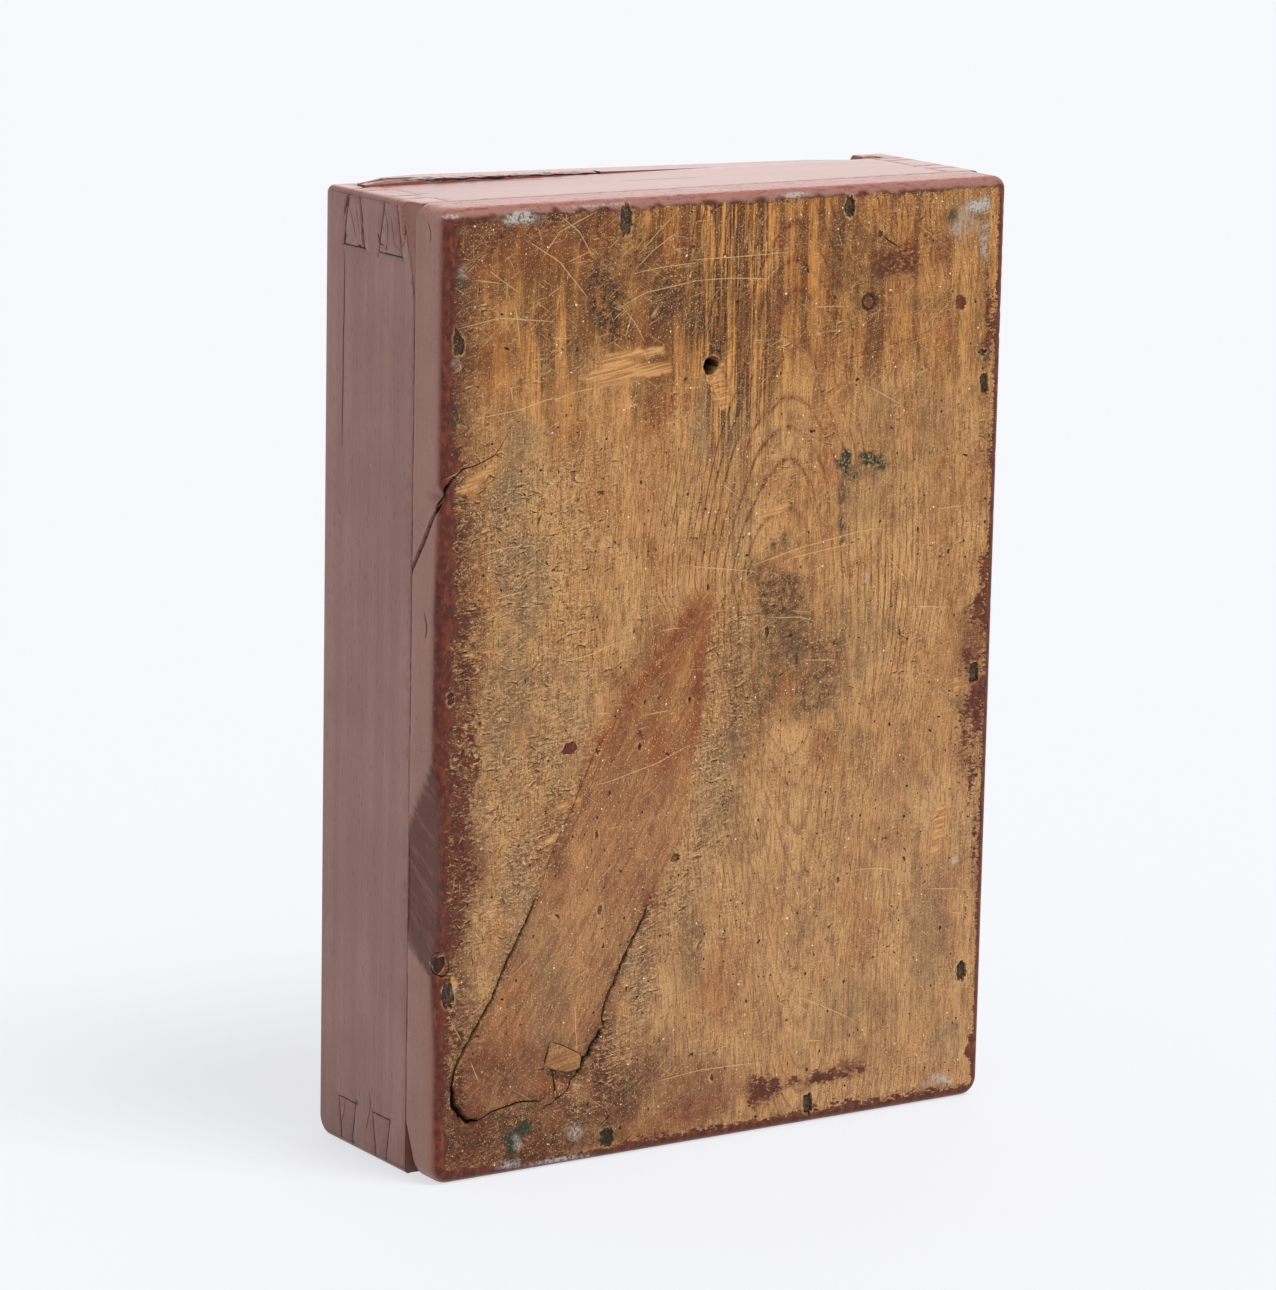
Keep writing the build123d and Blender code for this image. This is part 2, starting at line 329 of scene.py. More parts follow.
def tear_x(y, z):
    """X of the floor of the tear in the left arris."""
    share = np.clip((y - front + 0.5) / (board_thickness / 2 + 0.5), 0, 1)
    reach = tear_width + (0.3 - tear_width) * share
    middle = tear_height - 2 * share
    low = tear_height - tear_length / 2 + (tear_length / 2 - tear_length / 5) * share
    high = tear_height + tear_length / 2 * (1 - share)
    within = np.where(z < middle, (z - low) / (middle - low), (high - z) / np.maximum(high - middle, 0.01))
    within = np.where(y < front + board_thickness / 2, within, -1)
    return -half_width - 1 + (reach + 1) * np.clip(within, 0, 1)


def split_y(x, z):
    """Y of the surface left by the split at the foot of the left edge."""
    share = np.clip((x + half_width + 1) / (gap_reach + 1), 0, 1)
    opening = gap_opening * (1 - 0.8 * share)
    height = gap_height * (1 - 0.75 * share)
    cut = joint_plane - opening * np.clip(1 - (z + 1) / (height + 1), 0, 1)
    return np.where(share < 1, cut, joint_plane)


def cut_damage(points):
    """Take the facet, the tear and the split corner off the wrapped board, and say where the facet is."""
    x, y, z = points.T
    left = x < 0
    facet = np.where(left, facet_x(y, z), x)
    x = np.where(left, np.maximum(x, np.maximum(facet, tear_x(y, z))), x)
    y = np.where(left, np.minimum(y, split_y(x, z)), y)
    planed = np.where(left, smooth(facet - points[:, 0], 0.0, 0.15), 0)
    return np.stack([x, y, z], 1), planed


# Cracks and scratches on the bottom board, as pixels of the photograph

def crack(half_width, depth, line, dark=1.0, shake=0.15):
    """A crack along a line of pixels; shake is how far it wanders to either side."""
    return {"half_width": half_width, "depth": depth, "line": line, "dark": dark, "shake": shake}


cracks = {
    "knot_left": crack(0.7, 3, [
        (537, 896), (528, 919), (515, 946), (502, 975), (495, 994), (480, 1023), (465, 1049), (456, 1068),
        (452, 1085), (454, 1102), (456, 1113)], shake=0.35),
    "knot_foot": crack(1.5, 2.6, [
        (452, 1088), (454, 1100), (457, 1112), (464, 1122), (476, 1121)], shake=0.7),
    "knot_under": crack(0.5, 1.6, [
        (474, 1122), (482, 1119), (490, 1113), (506, 1107), (520, 1102), (541, 1101)]),
    "knot_right": crack(0.8, 2.2, [
        (648, 906), (635, 935), (621, 966), (609, 993), (602, 1013), (603, 1027)], shake=0.7),
    "knot_right_foot": crack(1.7, 1.8, [
        (603, 1027), (597, 1040), (591, 1049), (583, 1060), (580, 1071)], shake=0.8),
    "knot_right_root": crack(0.5, 1.2, [(580, 1071), (570, 1088), (556, 1101), (542, 1110)], shake=0.6),
    "flap_left": crack(0.4, 1, [(550, 1042), (547, 1053), (544, 1066)]),
    "flap_crack": crack(0.6, 1.6, [(555, 1071), (556, 1080), (554, 1094)]),
    "edge_split": crack(0.35, 1, [
        (510, 430), (503, 444), (495, 456), (478, 465), (462, 470), (449, 484), (444, 497)], dark=0.6),
    "edge_gap": crack(1, 2.4, [(452, 480), (444, 492), (438, 503), (436, 512)]),
    "foot_nail": crack(0.35, 1, [(809, 1112), (810, 1118)]),
    "top_dash": crack(0.6, 1, [(542, 515), (537, 527)]),
    "knot_border": crack(0.45, 0.7, [
        (606, 734), (594, 757), (583, 783), (572, 812), (563, 830), (552, 855), (541, 888)], dark=0.55),
    "flap_top": crack(0.3, 0.6, [(551, 1042), (564, 1046), (581, 1054)], dark=0.7),
    "flap_side": crack(0.4, 1, [(581, 1054), (583, 1063), (579, 1070)]),
    "edge_lump": crack(0.5, 0.8, [
        (441, 952), (433, 955), (428, 962), (430, 970), (437, 976), (445, 977), (450, 971),
        (449, 962)], dark=0.85),
    "round_knot_tail": crack(0.4, 0.6, [(884, 236), (890, 241), (898, 246)]),
}

side_cracks = {
    "edge_split_side": crack(1.3, 3.4, [(439, 505), (432, 519), (424, 541), (417, 557), (411, 574)]),
    "nick": crack(0.6, 1, [(424, 612), (427, 628), (425, 640)]),
    "corner_split": crack(0.4, 1, [(428, 222), (431, 233), (430, 244)]),
}

long_scratches = [
    [(679, 210), (660, 230), (637, 257)], [(680, 230), (654, 250), (632, 273)],
    [(701, 262), (664, 267), (632, 274)], [(700, 280), (645, 293), (618, 309)],
    [(621, 305), (635, 322), (646, 344)], [(633, 312), (625, 340)], [(487, 269), (503, 281), (520, 293)],
    [(591, 251), (565, 264)], [(473, 280), (505, 284)], [(514, 298), (518, 322), (521, 351)],
    [(511, 387), (514, 405)], [(554, 400), (575, 392), (600, 387)], [(623, 410), (639, 403)],
    [(690, 260), (735, 257), (782, 253)], [(690, 281), (733, 278), (776, 279)],
    [(864, 384), (885, 395), (906, 407)], [(812, 307), (847, 306)], [(560, 215), (580, 232), (596, 262)],
    [(527, 240), (560, 262), (590, 300)], [(455, 330), (500, 318), (560, 322)],
    [(600, 210), (560, 232), (540, 262)], [(470, 420), (520, 410), (560, 395)],
    [(749, 567), (800, 548), (860, 531), (887, 527)], [(785, 560), (820, 551), (854, 543)],
    [(887, 556), (900, 571), (913, 586)], [(909, 606), (952, 607)], [(722, 483), (739, 497)],
    [(937, 509), (966, 505)], [(561, 561), (562, 584), (566, 587)], [(517, 591), (529, 576)],
    [(493, 600), (525, 591)], [(656, 633), (670, 629), (684, 628)], [(802, 660), (838, 660)],
    [(587, 787), (609, 782), (658, 763), (694, 743)], [(593, 714), (613, 713)], [(641, 716), (672, 710)],
    [(633, 618), (630, 650)], [(770, 618), (800, 617), (818, 622)], [(690, 566), (760, 572)],
    [(929, 889), (959, 888)], [(949, 912), (966, 914)], [(797, 996), (820, 1005), (853, 1019)],
    [(839, 790), (834, 822)], [(575, 1000), (576, 1040)], [(577, 1028), (577, 1052)],
    [(450, 1020), (463, 1043)], [(470, 1060), (480, 1085)], [(800, 1040), (826, 1041)],
    [(655, 1082), (700, 1070), (760, 1062)], [(850, 870), (880, 868), (905, 872)],
    [(556, 664), (590, 655), (622, 640)], [(470, 560), (505, 548), (540, 545)],
]

dark_scratches = [
    [(833, 364), (880, 349), (931, 331)], [(737, 616), (780, 612), (820, 618)], [(753, 615), (770, 611)],
    [(745, 540), (737, 565), (739, 600), (738, 640)], [(676, 470), (678, 560)], [(693, 640), (700, 700)],
    [(612, 690), (640, 655), (668, 625)], [(586, 800), (600, 760), (625, 700)],
]

# Stains on the face, with painted highlights along the top arris among the white ones: the pixel's two
# numbers, half width and half height in millimetres, strength.
# The order counts, since each stain's ragged edge is drawn from its place in the table.
stain_spots = {
    "dark": [
        (668, 300, 13, 17, 0.85), (500, 235, 14, 14, 0.65), (545, 215, 22, 7, 0.7), (640, 250, 9, 22, 0.7),
        (700, 325, 14, 13, 0.65), (775, 600, 17, 15, 0.85), (800, 645, 22, 15, 0.75),
        (765, 690, 12, 22, 0.7), (820, 690, 14, 14, 0.7), (740, 740, 8, 22, 0.4), (500, 285, 8, 9, 0.6),
        (462, 290, 7, 14, 0.8), (455, 420, 8, 14, 0.6), (612, 1110, 10, 12, 0.8), (600, 1060, 9, 14, 0.7),
        (470, 1140, 18, 10, 0.8), (520, 1140, 32, 12, 0.65), (700, 1075, 24, 14, 0.4),
        (738, 700, 5, 26, 0.5), (735, 830, 14, 20, 0.35), (440, 760, 7, 20, 0.6), (985, 352, 5, 7, 0.7),
        (870, 300, 9, 10, 0.6), (850, 240, 12, 18, 0.5), (965, 640, 6, 9, 0.4), (595, 220, 12, 12, 0.6),
        (840, 740, 14, 14, 0.25), (880, 1000, 10, 12, 0.3), (810, 920, 12, 10, 0.25),
        (640, 1000, 9, 22, 0.4), (520, 250, 14, 16, 0.3), (560, 270, 6, 20, 0.25), (440, 930, 8, 40, 0.6),
        (440, 730, 7, 40, 0.45), (440, 430, 6, 30, 0.5), (455, 320, 8, 30, 0.6), (450, 900, 9, 26, 0.6),
        (460, 1000, 7, 30, 0.6), (445, 620, 6, 40, 0.6), (628, 219, 3.2, 7.5, 1.1), (770, 330, 8, 9, 0.3),
        (930, 300, 12, 12, 0.35), (690, 950, 7, 26, 0.45), (650, 1070, 10, 16, 0.45),
        (575, 1120, 18, 10, 0.75), (460, 220, 14, 10, 0.7), (500, 1135, 46, 14, 0.8),
        (450, 1120, 8, 20, 0.8), (620, 1090, 14, 14, 0.8), (545, 1150, 46, 7, 0.8),
        (620, 280, 14, 24, 0.45), (715, 290, 10, 18, 0.4), (850, 250, 16, 24, 0.6),
        (850, 310, 12, 12, 0.35), (500, 1065, 22, 13, 0.5), (560, 1065, 14, 12, 0.5),
        (555, 850, 7, 24, 0.35), (740, 640, 12, 30, 0.3), (770, 305, 20, 10, 0.35), (540, 1105, 26, 8, 0.6),
        (605, 300, 12, 22, 1), (618, 330, 12, 12, 0.7), (612, 245, 8, 22, 0.6), (475, 235, 16, 22, 0.6),
        (869, 302, 6, 6, 0.6), (470, 330, 12, 34, 0.45), (640, 340, 14, 8, 0.4), (515, 330, 6, 30, 0.4),
        (760, 580, 12, 10, 0.5), (770, 650, 20, 26, 0.45), (745, 720, 12, 26, 0.4),
        (870, 255, 22, 14, 0.55), (565, 1060, 18, 10, 0.35), (650, 650, 9, 22, 0.35),
        (505, 215, 30, 6, 0.5), (590, 350, 14, 8, 0.3)],
    "brown": [
        (640, 290, 26, 36, 0.8), (500, 250, 36, 30, 1), (480, 330, 20, 40, 0.8), (745, 715, 22, 26, 0.5),
        (640, 810, 16, 30, 0.55), (910, 290, 24, 30, 0.35), (650, 700, 16, 46, 0.75),
        (620, 800, 16, 50, 0.5), (560, 1000, 30, 40, 0.35), (500, 1130, 56, 20, 1.05),
        (700, 1090, 50, 16, 0.5), (460, 700, 12, 120, 0.5), (460, 500, 12, 60, 0.5),
        (800, 640, 30, 40, 0.35), (520, 900, 16, 60, 0.35), (630, 900, 20, 50, 0.4),
        (930, 480, 20, 60, 0.2), (820, 500, 20, 60, 0.2), (640, 1060, 26, 26, 0.5), (970, 700, 10, 50, 0.4),
        (892, 810, 16, 26, 0.5), (545, 865, 14, 26, 0.55), (780, 310, 40, 16, 0.3),
        (600, 1060, 14, 26, 0.7), (490, 430, 16, 30, 0.4), (860, 230, 16, 36, 0.5), (505, 320, 16, 22, 0.4),
        (510, 450, 14, 20, 0.4), (550, 840, 12, 36, 0.7), (650, 810, 12, 26, 0.5), (520, 1060, 40, 16, 0.9),
        (590, 1090, 24, 20, 0.6), (865, 1060, 20, 10, 0.5), (945, 520, 12, 40, 0.4),
        (950, 650, 14, 40, 0.45), (900, 810, 14, 12, 0.4), (890, 420, 20, 60, 0.25),
        (455, 850, 10, 60, 0.6), (945, 490, 10, 20, 0.35), (945, 910, 8, 40, 0.45)],
    "grey": [
        (520, 560, 16, 50, 0.75), (510, 700, 14, 40, 0.75), (515, 480, 14, 26, 0.7),
        (560, 720, 18, 40, 0.4), (700, 430, 5, 24, 0.6), (740, 480, 8, 40, 0.35), (925, 930, 12, 45, 0.5),
        (860, 640, 20, 30, 0.3), (720, 780, 14, 30, 0.5), (640, 960, 8, 20, 0.45), (520, 900, 12, 26, 0.5),
        (880, 480, 20, 40, 0.3), (965, 215, 12, 10, 0.5), (628, 222, 3.6, 8, 0.9), (455, 370, 8, 18, 0.7),
        (930, 420, 12, 30, 0.35), (690, 940, 12, 40, 0.3), (455, 290, 6, 18, 0.7),
        (840, 1010, 16, 20, 0.35), (790, 640, 18, 22, 0.4), (545, 1000, 14, 30, 0.4),
        (470, 850, 10, 40, 0.4), (935, 1040, 12, 18, 0.4)],
    "warm": [
        (600, 250, 9, 30, 0.7), (480, 250, 14, 12, 0.5), (610, 200, 10, 10, 0.6), (600, 500, 10, 12, 0.3),
        (655, 480, 10, 46, 0.4), (790, 690, 9, 12, 0.5), (775, 560, 10, 20, 0.25), (470, 1150, 14, 12, 0.7),
        (560, 1080, 12, 8, 0.5), (600, 1040, 6, 12, 0.5), (820, 750, 10, 10, 0.5), (745, 460, 3, 24, 0.3),
        (720, 1000, 14, 26, 0.3), (860, 930, 12, 22, 0.3), (945, 330, 10, 20, 0.4), (690, 610, 7, 12, 0.6),
        (665, 650, 10, 18, 0.5), (655, 745, 10, 12, 0.4), (560, 440, 9, 30, 0.2), (830, 420, 16, 40, 0.2),
        (470, 1160, 16, 8, 0.9), (500, 1010, 14, 40, 0.3), (660, 560, 14, 20, 0.3), (650, 1130, 20, 8, 0.5),
        (783, 235, 4, 7, 0.7), (778, 318, 4, 7, 0.5), (520, 700, 24, 60, 0.12)],
    "green": [
        (846, 463, 3.6, 7, 1.2), (868, 458, 5, 4, 1), (880, 463, 4, 4, 0.9), (843, 492, 2.5, 9, 0.7),
        (842, 525, 2.2, 7, 0.7), (860, 474, 9, 4, 0.5), (521, 1132, 7, 5, 1), (511, 1144, 3.5, 6.5, 1.1),
        (784, 541, 2, 5, 0.7), (774, 545, 2, 3, 0.7), (607, 1140, 5, 5, 0.9), (954, 218, 5, 4, 0.7),
        (460, 280, 2, 4, 0.5), (455, 420, 3, 9, 0.4)],
    "umber": [
        (500, 1135, 64, 20, 1), (450, 1100, 14, 34, 0.75), (605, 1095, 22, 22, 0.9),
        (640, 1080, 12, 22, 0.7), (560, 1080, 22, 14, 0.6), (470, 232, 22, 22, 0.7), (455, 300, 9, 40, 0.7),
        (448, 440, 8, 50, 0.5), (700, 1105, 40, 10, 0.4), (446, 920, 9, 50, 0.9), (560, 215, 40, 8, 0.5),
        (648, 920, 5, 30, 0.6), (612, 1010, 6, 20, 0.7), (600, 600, 6, 20, 0.1)],
    # The thin white spots along the top arris are painted highlights where the arris catches light; the
    # others are white scuffs and flecks.
    "white": [
        (521, 217, 11, 3.2, 0.85), (573, 1132, 5, 3.4, 0.6), (560, 1160, 16, 1.3, 0.9),
        (517, 1143, 2, 4, 0.6), (510, 1165, 7, 1.6, 0.7), (450, 216, 5, 1, 0.8), (600, 205, 16, 0.7, 0.6),
        (978, 205, 8, 4, 0.8), (965, 225, 8, 6, 0.35), (462, 273, 1.8, 3, 0.4), (455, 989, 2, 2, 0.4),
        (455, 362, 1.5, 1.5, 0.4), (955, 860, 3, 1.5, 0.7), (940, 1080, 8, 3, 0.6), (866, 580, 0.8, 3, 1),
        (795, 195, 8, 1.2, 0.8), (628, 212, 1, 2.5, 0.7), (985, 240, 2.5, 10, 0.5), (526, 318, 1, 1, 0.9),
        (575, 350, 1.2, 1, 0.9)],
    "smudge": [
        (960, 302, 4, 3.2, 1.1), (972, 1050, 4.5, 8, 1.1), (905, 262, 12, 8, 0.5), (985, 600, 6, 24, 0.7),
        (978, 700, 6, 20, 0.8), (970, 780, 2, 16, 0.7), (974, 840, 1.6, 20, 0.6), (966, 900, 1.2, 12, 0.6),
        (602, 495, 2, 3, 0.6), (640, 735, 2.6, 2.4, 0.8), (455, 560, 9, 34, 0.42), (970, 700, 8, 50, 0.5),
        (765, 1090, 12, 7, 0.8), (825, 1076, 22, 3.5, 0.8), (460, 660, 11, 34, 0.48),
        (462, 770, 11, 34, 0.56), (455, 850, 12, 34, 0.6), (990, 320, 4, 30, 0.6), (450, 930, 11, 22, 0.6),
        (450, 250, 8, 14, 0.5), (600, 206, 10, 3, 0.6), (720, 200, 20, 2, 0.6), (455, 1060, 6, 40, 0.5),
        (520, 1165, 30, 4, 0.5), (650, 1140, 20, 4, 0.5)],
    "tint": [
        (900, 264, 15, 10, 1.3), (943, 248, 5, 14, 0.9), (832, 272, 4, 12, 0.8), (822, 1078, 22, 4, 1),
        (762, 1092, 12, 9, 0.95), (845, 1068, 12, 5, 0.9), (700, 1110, 30, 8, 0.7), (885, 315, 4, 12, 0.6),
        (785, 237, 3, 9, 0.6), (975, 640, 10, 34, 0.8), (965, 740, 8, 30, 0.5), (978, 880, 3, 50, 0.4),
        (985, 440, 6, 40, 0.45), (800, 1120, 40, 5, 0.8), (900, 1100, 40, 5, 0.5), (470, 620, 12, 60, 0.5),
        (465, 860, 14, 50, 0.7), (470, 1080, 10, 60, 0.7), (690, 620, 8, 14, 0.6), (700, 690, 5, 24, 0.6),
        (560, 850, 6, 26, 0.4), (620, 720, 8, 30, 0.4), (455, 380, 8, 60, 0.5), (500, 212, 26, 5, 0.6),
        (640, 1135, 60, 6, 0.5), (660, 900, 6, 30, 0.3)],
}

# Fresh, light wood: scraped and torn patches as outlines of pixels
fresh_patches = [
    [(602, 357), (622, 352), (652, 347), (666, 347), (664, 354), (634, 360), (640, 364), (671, 363),
     (672, 372), (640, 379), (600, 388), (598, 380), (588, 383), (578, 377), (600, 371)],
    [(758, 525), (764, 515), (778, 506), (793, 498), (786, 508), (772, 517)],
    [(941, 802), (946, 808), (943, 830), (938, 853), (932, 853), (934, 830), (937, 810)],
    [(455, 494), (462, 486), (480, 474), (492, 462), (494, 470), (482, 484), (466, 493)],
    [(551, 812), (566, 803), (580, 799), (570, 807), (556, 813)],
    [(542, 846), (553, 838), (564, 833), (556, 841), (545, 847)],
    [(446, 985), (454, 978), (459, 984), (452, 999), (446, 996)],
    [(955, 676), (960, 684), (958, 694), (953, 686)],
]

red_drop = [
    (558, 752), (563, 749), (567, 744), (573, 742), (577, 746), (575, 751), (569, 754), (562, 753)]

knot_left_edge = [
    (700, 590), (672, 640), (640, 685), (603, 736), (583, 783), (563, 830), (542, 884), (515, 946),
    (495, 994), (465, 1049), (453, 1085), (457, 1113)]
knot_right_edge = [
    (712, 590), (706, 650), (700, 720), (690, 790), (676, 850), (648, 906), (621, 966), (602, 1013),
    (596, 1043), (580, 1071), (568, 1090), (542, 1101)]

torn_pits = [
    ((438, 965), 3.4, 3.6, 0.7), ((458, 343), 2.2, 5, 1.1), ((676, 858), 2.4, 2.2, 1.2),
    ((598, 752), 1, 1.2, 1), ((640, 747), 1.1, 1.5, 1), ((597, 835), 0.9, 2, 1), ((881, 234), 1.5, 1.6, 1),
    ((767, 632), 1.2, 2.4, 0.8), ((983, 352), 2.4, 1.6, 0.8), ((690, 700), 0.8, 1.4, 0.8),
    ((838, 880), 0.7, 1.6, 0.7), ((712, 1078), 0.9, 1.6, 0.7), ((600, 910), 1.4, 2.2, 0.5),
    ((665, 905), 1, 1, 0.6)]

round_knot = {"middle": (869, 302), "ring": 3.1, "width": 0.9, "depth": 0.7}
wear_hole = {"across": -9.5, "height": 329.4, "radius": 4.2, "depth": 17.0}
hole_gouge = {"top": (717, 373), "end": (724, 404), "half_width": 5.4, "depth": 2.0}
flap_edge = [(543.7, 1066), (554, 1069.5), (567.8, 1072), (579.8, 1068.6)]
flap_outline = [
    (551, 1042), (564, 1046), (581, 1054), (583, 1062), (579.8, 1068.6), (567.8, 1072), (554, 1069.5),
    (546, 1066)]
flap_recess_depth = 2.0

# How each nail hole looks, in order along its edge; a shallow hole keeps torn wood over the nail
nail_hole_kinds = {
    "open": {"across": 2.5, "up": 4.5, "depth": 2.9, "dark": 0.75},
    "torn_over": {"across": 2.8, "up": 6.4, "depth": 1.3, "dark": 0.45},
    "grimy": {"across": 3.4, "up": 4.0, "depth": 0.9, "dark": 0.6},
    "eroded": {"across": 2.3, "up": 4.6, "depth": 1.0, "dark": 0.6},
    "closed_up": {"across": 1.6, "up": 2.6, "depth": 0.6, "dark": 0.25},
}
nail_holes = {
    "nails_entry_end": ["torn_over", "open"], "nails_closed_end": ["grimy", "open"],
    "nails_left_side": ["torn_over", "closed_up", "eroded"], "nails_right_side": ["open", "open", "open"],
}


def nail_heads(node):
    """The middle of each nail head in a group, as X and Z, read from the frame."""
    head_reach = 2.0
    head_spacing = 20.0
    heads = []
    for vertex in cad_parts[node].data.vertices:
        x, y, z = vertex.co / MM
        if y > front + head_reach:
            continue
        near = [head for head in heads if abs(head[0][0] - x) + abs(head[0][1] - z) < head_spacing]
        if near:
            near[0].append((x, z))
        else:
            heads.append([(x, z)])
    middles = [tuple((np.array(head).min(0) + np.array(head).max(0)) / 2) for head in heads]
    return sorted(middles, key=sum)


# Fields over the face: how rough, painted and stained each place is

def knot_band(points):
    """1 inside the spike knot, how far right of its two borders a place is, and 1 at the heights it spans."""
    left = face_line(knot_left_edge)
    right = face_line(knot_right_edge)
    height = points[:, 1]
    left_x = np.interp(-height, -left[:, 1], left[:, 0])
    right_x = np.interp(-height, -right[:, 1], right[:, 0])
    wobble = 1.2 * ripple(points, 9, 31)
    inside = np.minimum(points[:, 0] - left_x + wobble, right_x - points[:, 0] + wobble)
    top = left[0, 1]
    foot = left[-1, 1]
    within = smooth(height, foot - 3, foot + 2) * (1 - smooth(height, top - 12, top + 4))
    return smooth(inside, -0.6, 1.2) * within, points[:, 0] - left_x, points[:, 0] - right_x, within


def roughness_field(points):
    """How torn the fibres are: most along the left edge, a lot left of the knot and just right of it."""
    x, z = points.T
    left = 0.75 * (1 - smooth(x, -80, -28)) * smooth(z, 60, 120) * (1 - smooth(z, 285, 325))
    margin = 0.7 * (1 - smooth(x, -118, -98)) * smooth(z, 30, 60) * (1 - 0.65 * smooth(z, 285, 325))
    knot, _, from_right, within = knot_band(points)
    beside = 0.75 * smooth(from_right, -2, 1) * (1 - smooth(from_right, 16, 34)) * within
    everywhere = 0.2 + 0.12 * ripple(points, 22, 5)
    field = np.maximum.reduce([left, margin, beside, everywhere])
    return np.clip(field * (1 - 0.8 * knot) * (0.85 + 0.25 * ripple(points, 12, 6)), 0, 1)


def worn_top_field(points):
    """How much the wood near the lid's end is darkened and golden: whole at the top, less at the right."""
    x, z = points.T
    return smooth(z + 8 * ripple(points, 25, 8), 292, 345) * (1 - 0.35 * smooth(x, 70, 115))


def rib_field(points):
    """How strongly narrow upright ribs show: between the middle and the left, high on the face."""
    x, z = points.T
    middle = np.exp(-((x - 2) / 17) ** 4) * smooth(z, 268, 335)
    lower = 0.3 * np.exp(-((x - 4) / 15) ** 2) * smooth(z, 150, 250)
    return np.clip(middle + 0.3 * worn_top_field(points) + lower, 0, 1)


def ring_field(points):
    """The count of growth rings at each place: round arches above the middle, sharp ones below."""
    x, z = points.T
    axis_x = 31 + 14 * smooth(-z, -200, -20) + 3 * ripple(points, 90, 11)
    pith_depth = 20 + 38 * smooth(z, 120, 260)
    middle_z = 215.0
    rise_rate = 0.138
    spacing = 2.07
    bow = 45.0
    radial = np.sqrt(pith_depth ** 2 + (x - axis_x) ** 2) - pith_depth
    rise = rise_rate * (np.sqrt((z - middle_z) ** 2 + bow ** 2) - bow)
    _, _, from_right, within = knot_band(points)
    pushed = 5.0 * np.exp(-np.clip(from_right, 0, None) / 14) * within
    round_middle = np.array(on_face(round_knot["middle"]))
    around = np.exp(-(np.hypot(*(points - round_middle).T) / 9) ** 2)
    return (radial + rise + pushed + 3 * around + 0.7 * ripple(points, 30, 12)) / spacing


def ring_contrast(points):
    """How clearly the ring lines show."""
    x, z = points.T
    knot = knot_band(points)[0]
    right = smooth(x, -50, -28) * (1 - 0.55 * smooth(x, 85, 115)) * (0.7 + 0.3 * smooth(z, 150, 230))
    top = 1 + 0.35 * smooth(z, 325, 360) * (1 - smooth(x, 20, 40))
    middle = 0.75 * np.exp(-((x - 4) / 15) ** 2) * smooth(z, 190, 260)
    cloudy = 0.65 + 0.3 * ripple(points, 40, 13)
    return np.clip((right * top + middle) * (1 - knot) * cloudy + 0.12, 0, 1.6)


def stain_field(points, kind):
    """The listed stains of one kind, the strongest at each place; the white kind also holds painted
    highlights.
    """
    amount = np.zeros(len(points))
    first_seed = 300 + 50 * list(stain_spots).index(kind)
    for number, (*pixel, across, up, strength) in enumerate(stain_spots[kind]):
        amount = np.maximum(amount, strength * spot(points, pixel, across, up, first_seed + number))
    return amount


def paint_field(points):
    """How much paint is left: whole on the sides, ragged along the face's edges."""
    x, z = points.T
    outside = outside_face(points)[0]
    left, foot = face_low
    right, top = face_high
    margin_left = (3.2 - 1.2 * (1 - smooth(z, 60, 130)) - 1.2 * smooth(z, 270, 310)
                   + 2.2 * ripple(points, 26, 21) + 2.0 * ripple(points, 8, 22))
    margin_right = 0.8 + 1.6 * ripple(points, 30, 23)
    margin_top = 1.6 + 1.6 * ripple(points, 22, 24)
    margin_foot = 2.2 + 2.4 * ripple(points, 28, 25)
    near = 1 - np.minimum.reduce([(x - left) / margin_left.clip(2), (right - x) / margin_right.clip(1),
                                  (top - z) / margin_top.clip(1), (z - foot) / margin_foot.clip(1)])
    tail = 0.47 * (1 - smooth(x - left, 0, 30)) + 0.16 * (1 - smooth(z, 4, 24))
    amount = np.clip(0.1 + tail + 0.5 * near, 0, 1)
    amount = np.maximum(amount, stain_field(points, "smudge"))
    return np.clip(amount + smooth(outside, 0.0, 2.5), 0, 1.5)


# Grooves: cracks, scratches and torn flecks, each a centre line with a half width and a depth

def groove(line, half_width, depth, light=0.0, dark=0.0, step=2.0):
    """A groove with its own points about every step millimetres."""
    return {"line": resample(line, step), "half_width": half_width, "depth": depth,
            "light": light, "dark": dark}


def shaken(line, reach):
    """The line with small bends, as wood splits."""
    line = resample(line, 1.6)
    return line + reach * np.stack([ripple(line, 1.8, 601), ripple(line, 1.8, 602)], 1)


def taper(places):
    """The share of its width that a groove has along its length."""
    return 0.15 + 0.85 * np.sqrt(np.clip(np.minimum(places, 1 - places) / 0.25, 0, 1))


def bent_line(middle, angle, length, bend):
    """A short line through a place, bent sideways by a share of its length, and its sideways direction."""
    along = np.array((cos(angle), sin(angle)))
    across = np.array((-along[1], along[0]))
    return np.array([middle - along * length / 2, middle + across * bend * length,
                     middle + along * length / 2]), across


def random_lines(count, seed, boxes, lean, lean_spread, lengths):
    """Short, hardly bent lines scattered in boxes of photograph pixels."""
    draw = np.random.default_rng(seed)
    bend_spread = 0.02
    lines = []
    for _ in range(count):
        left, top, right, foot = boxes[draw.integers(len(boxes))]
        middle = np.array(on_face((draw.uniform(left, right), draw.uniform(top, foot))))
        angle = radians(draw.normal(lean, lean_spread))
        lines.append(bent_line(middle, angle, draw.uniform(*lengths), draw.normal(0, bend_spread))[0])
    return lines


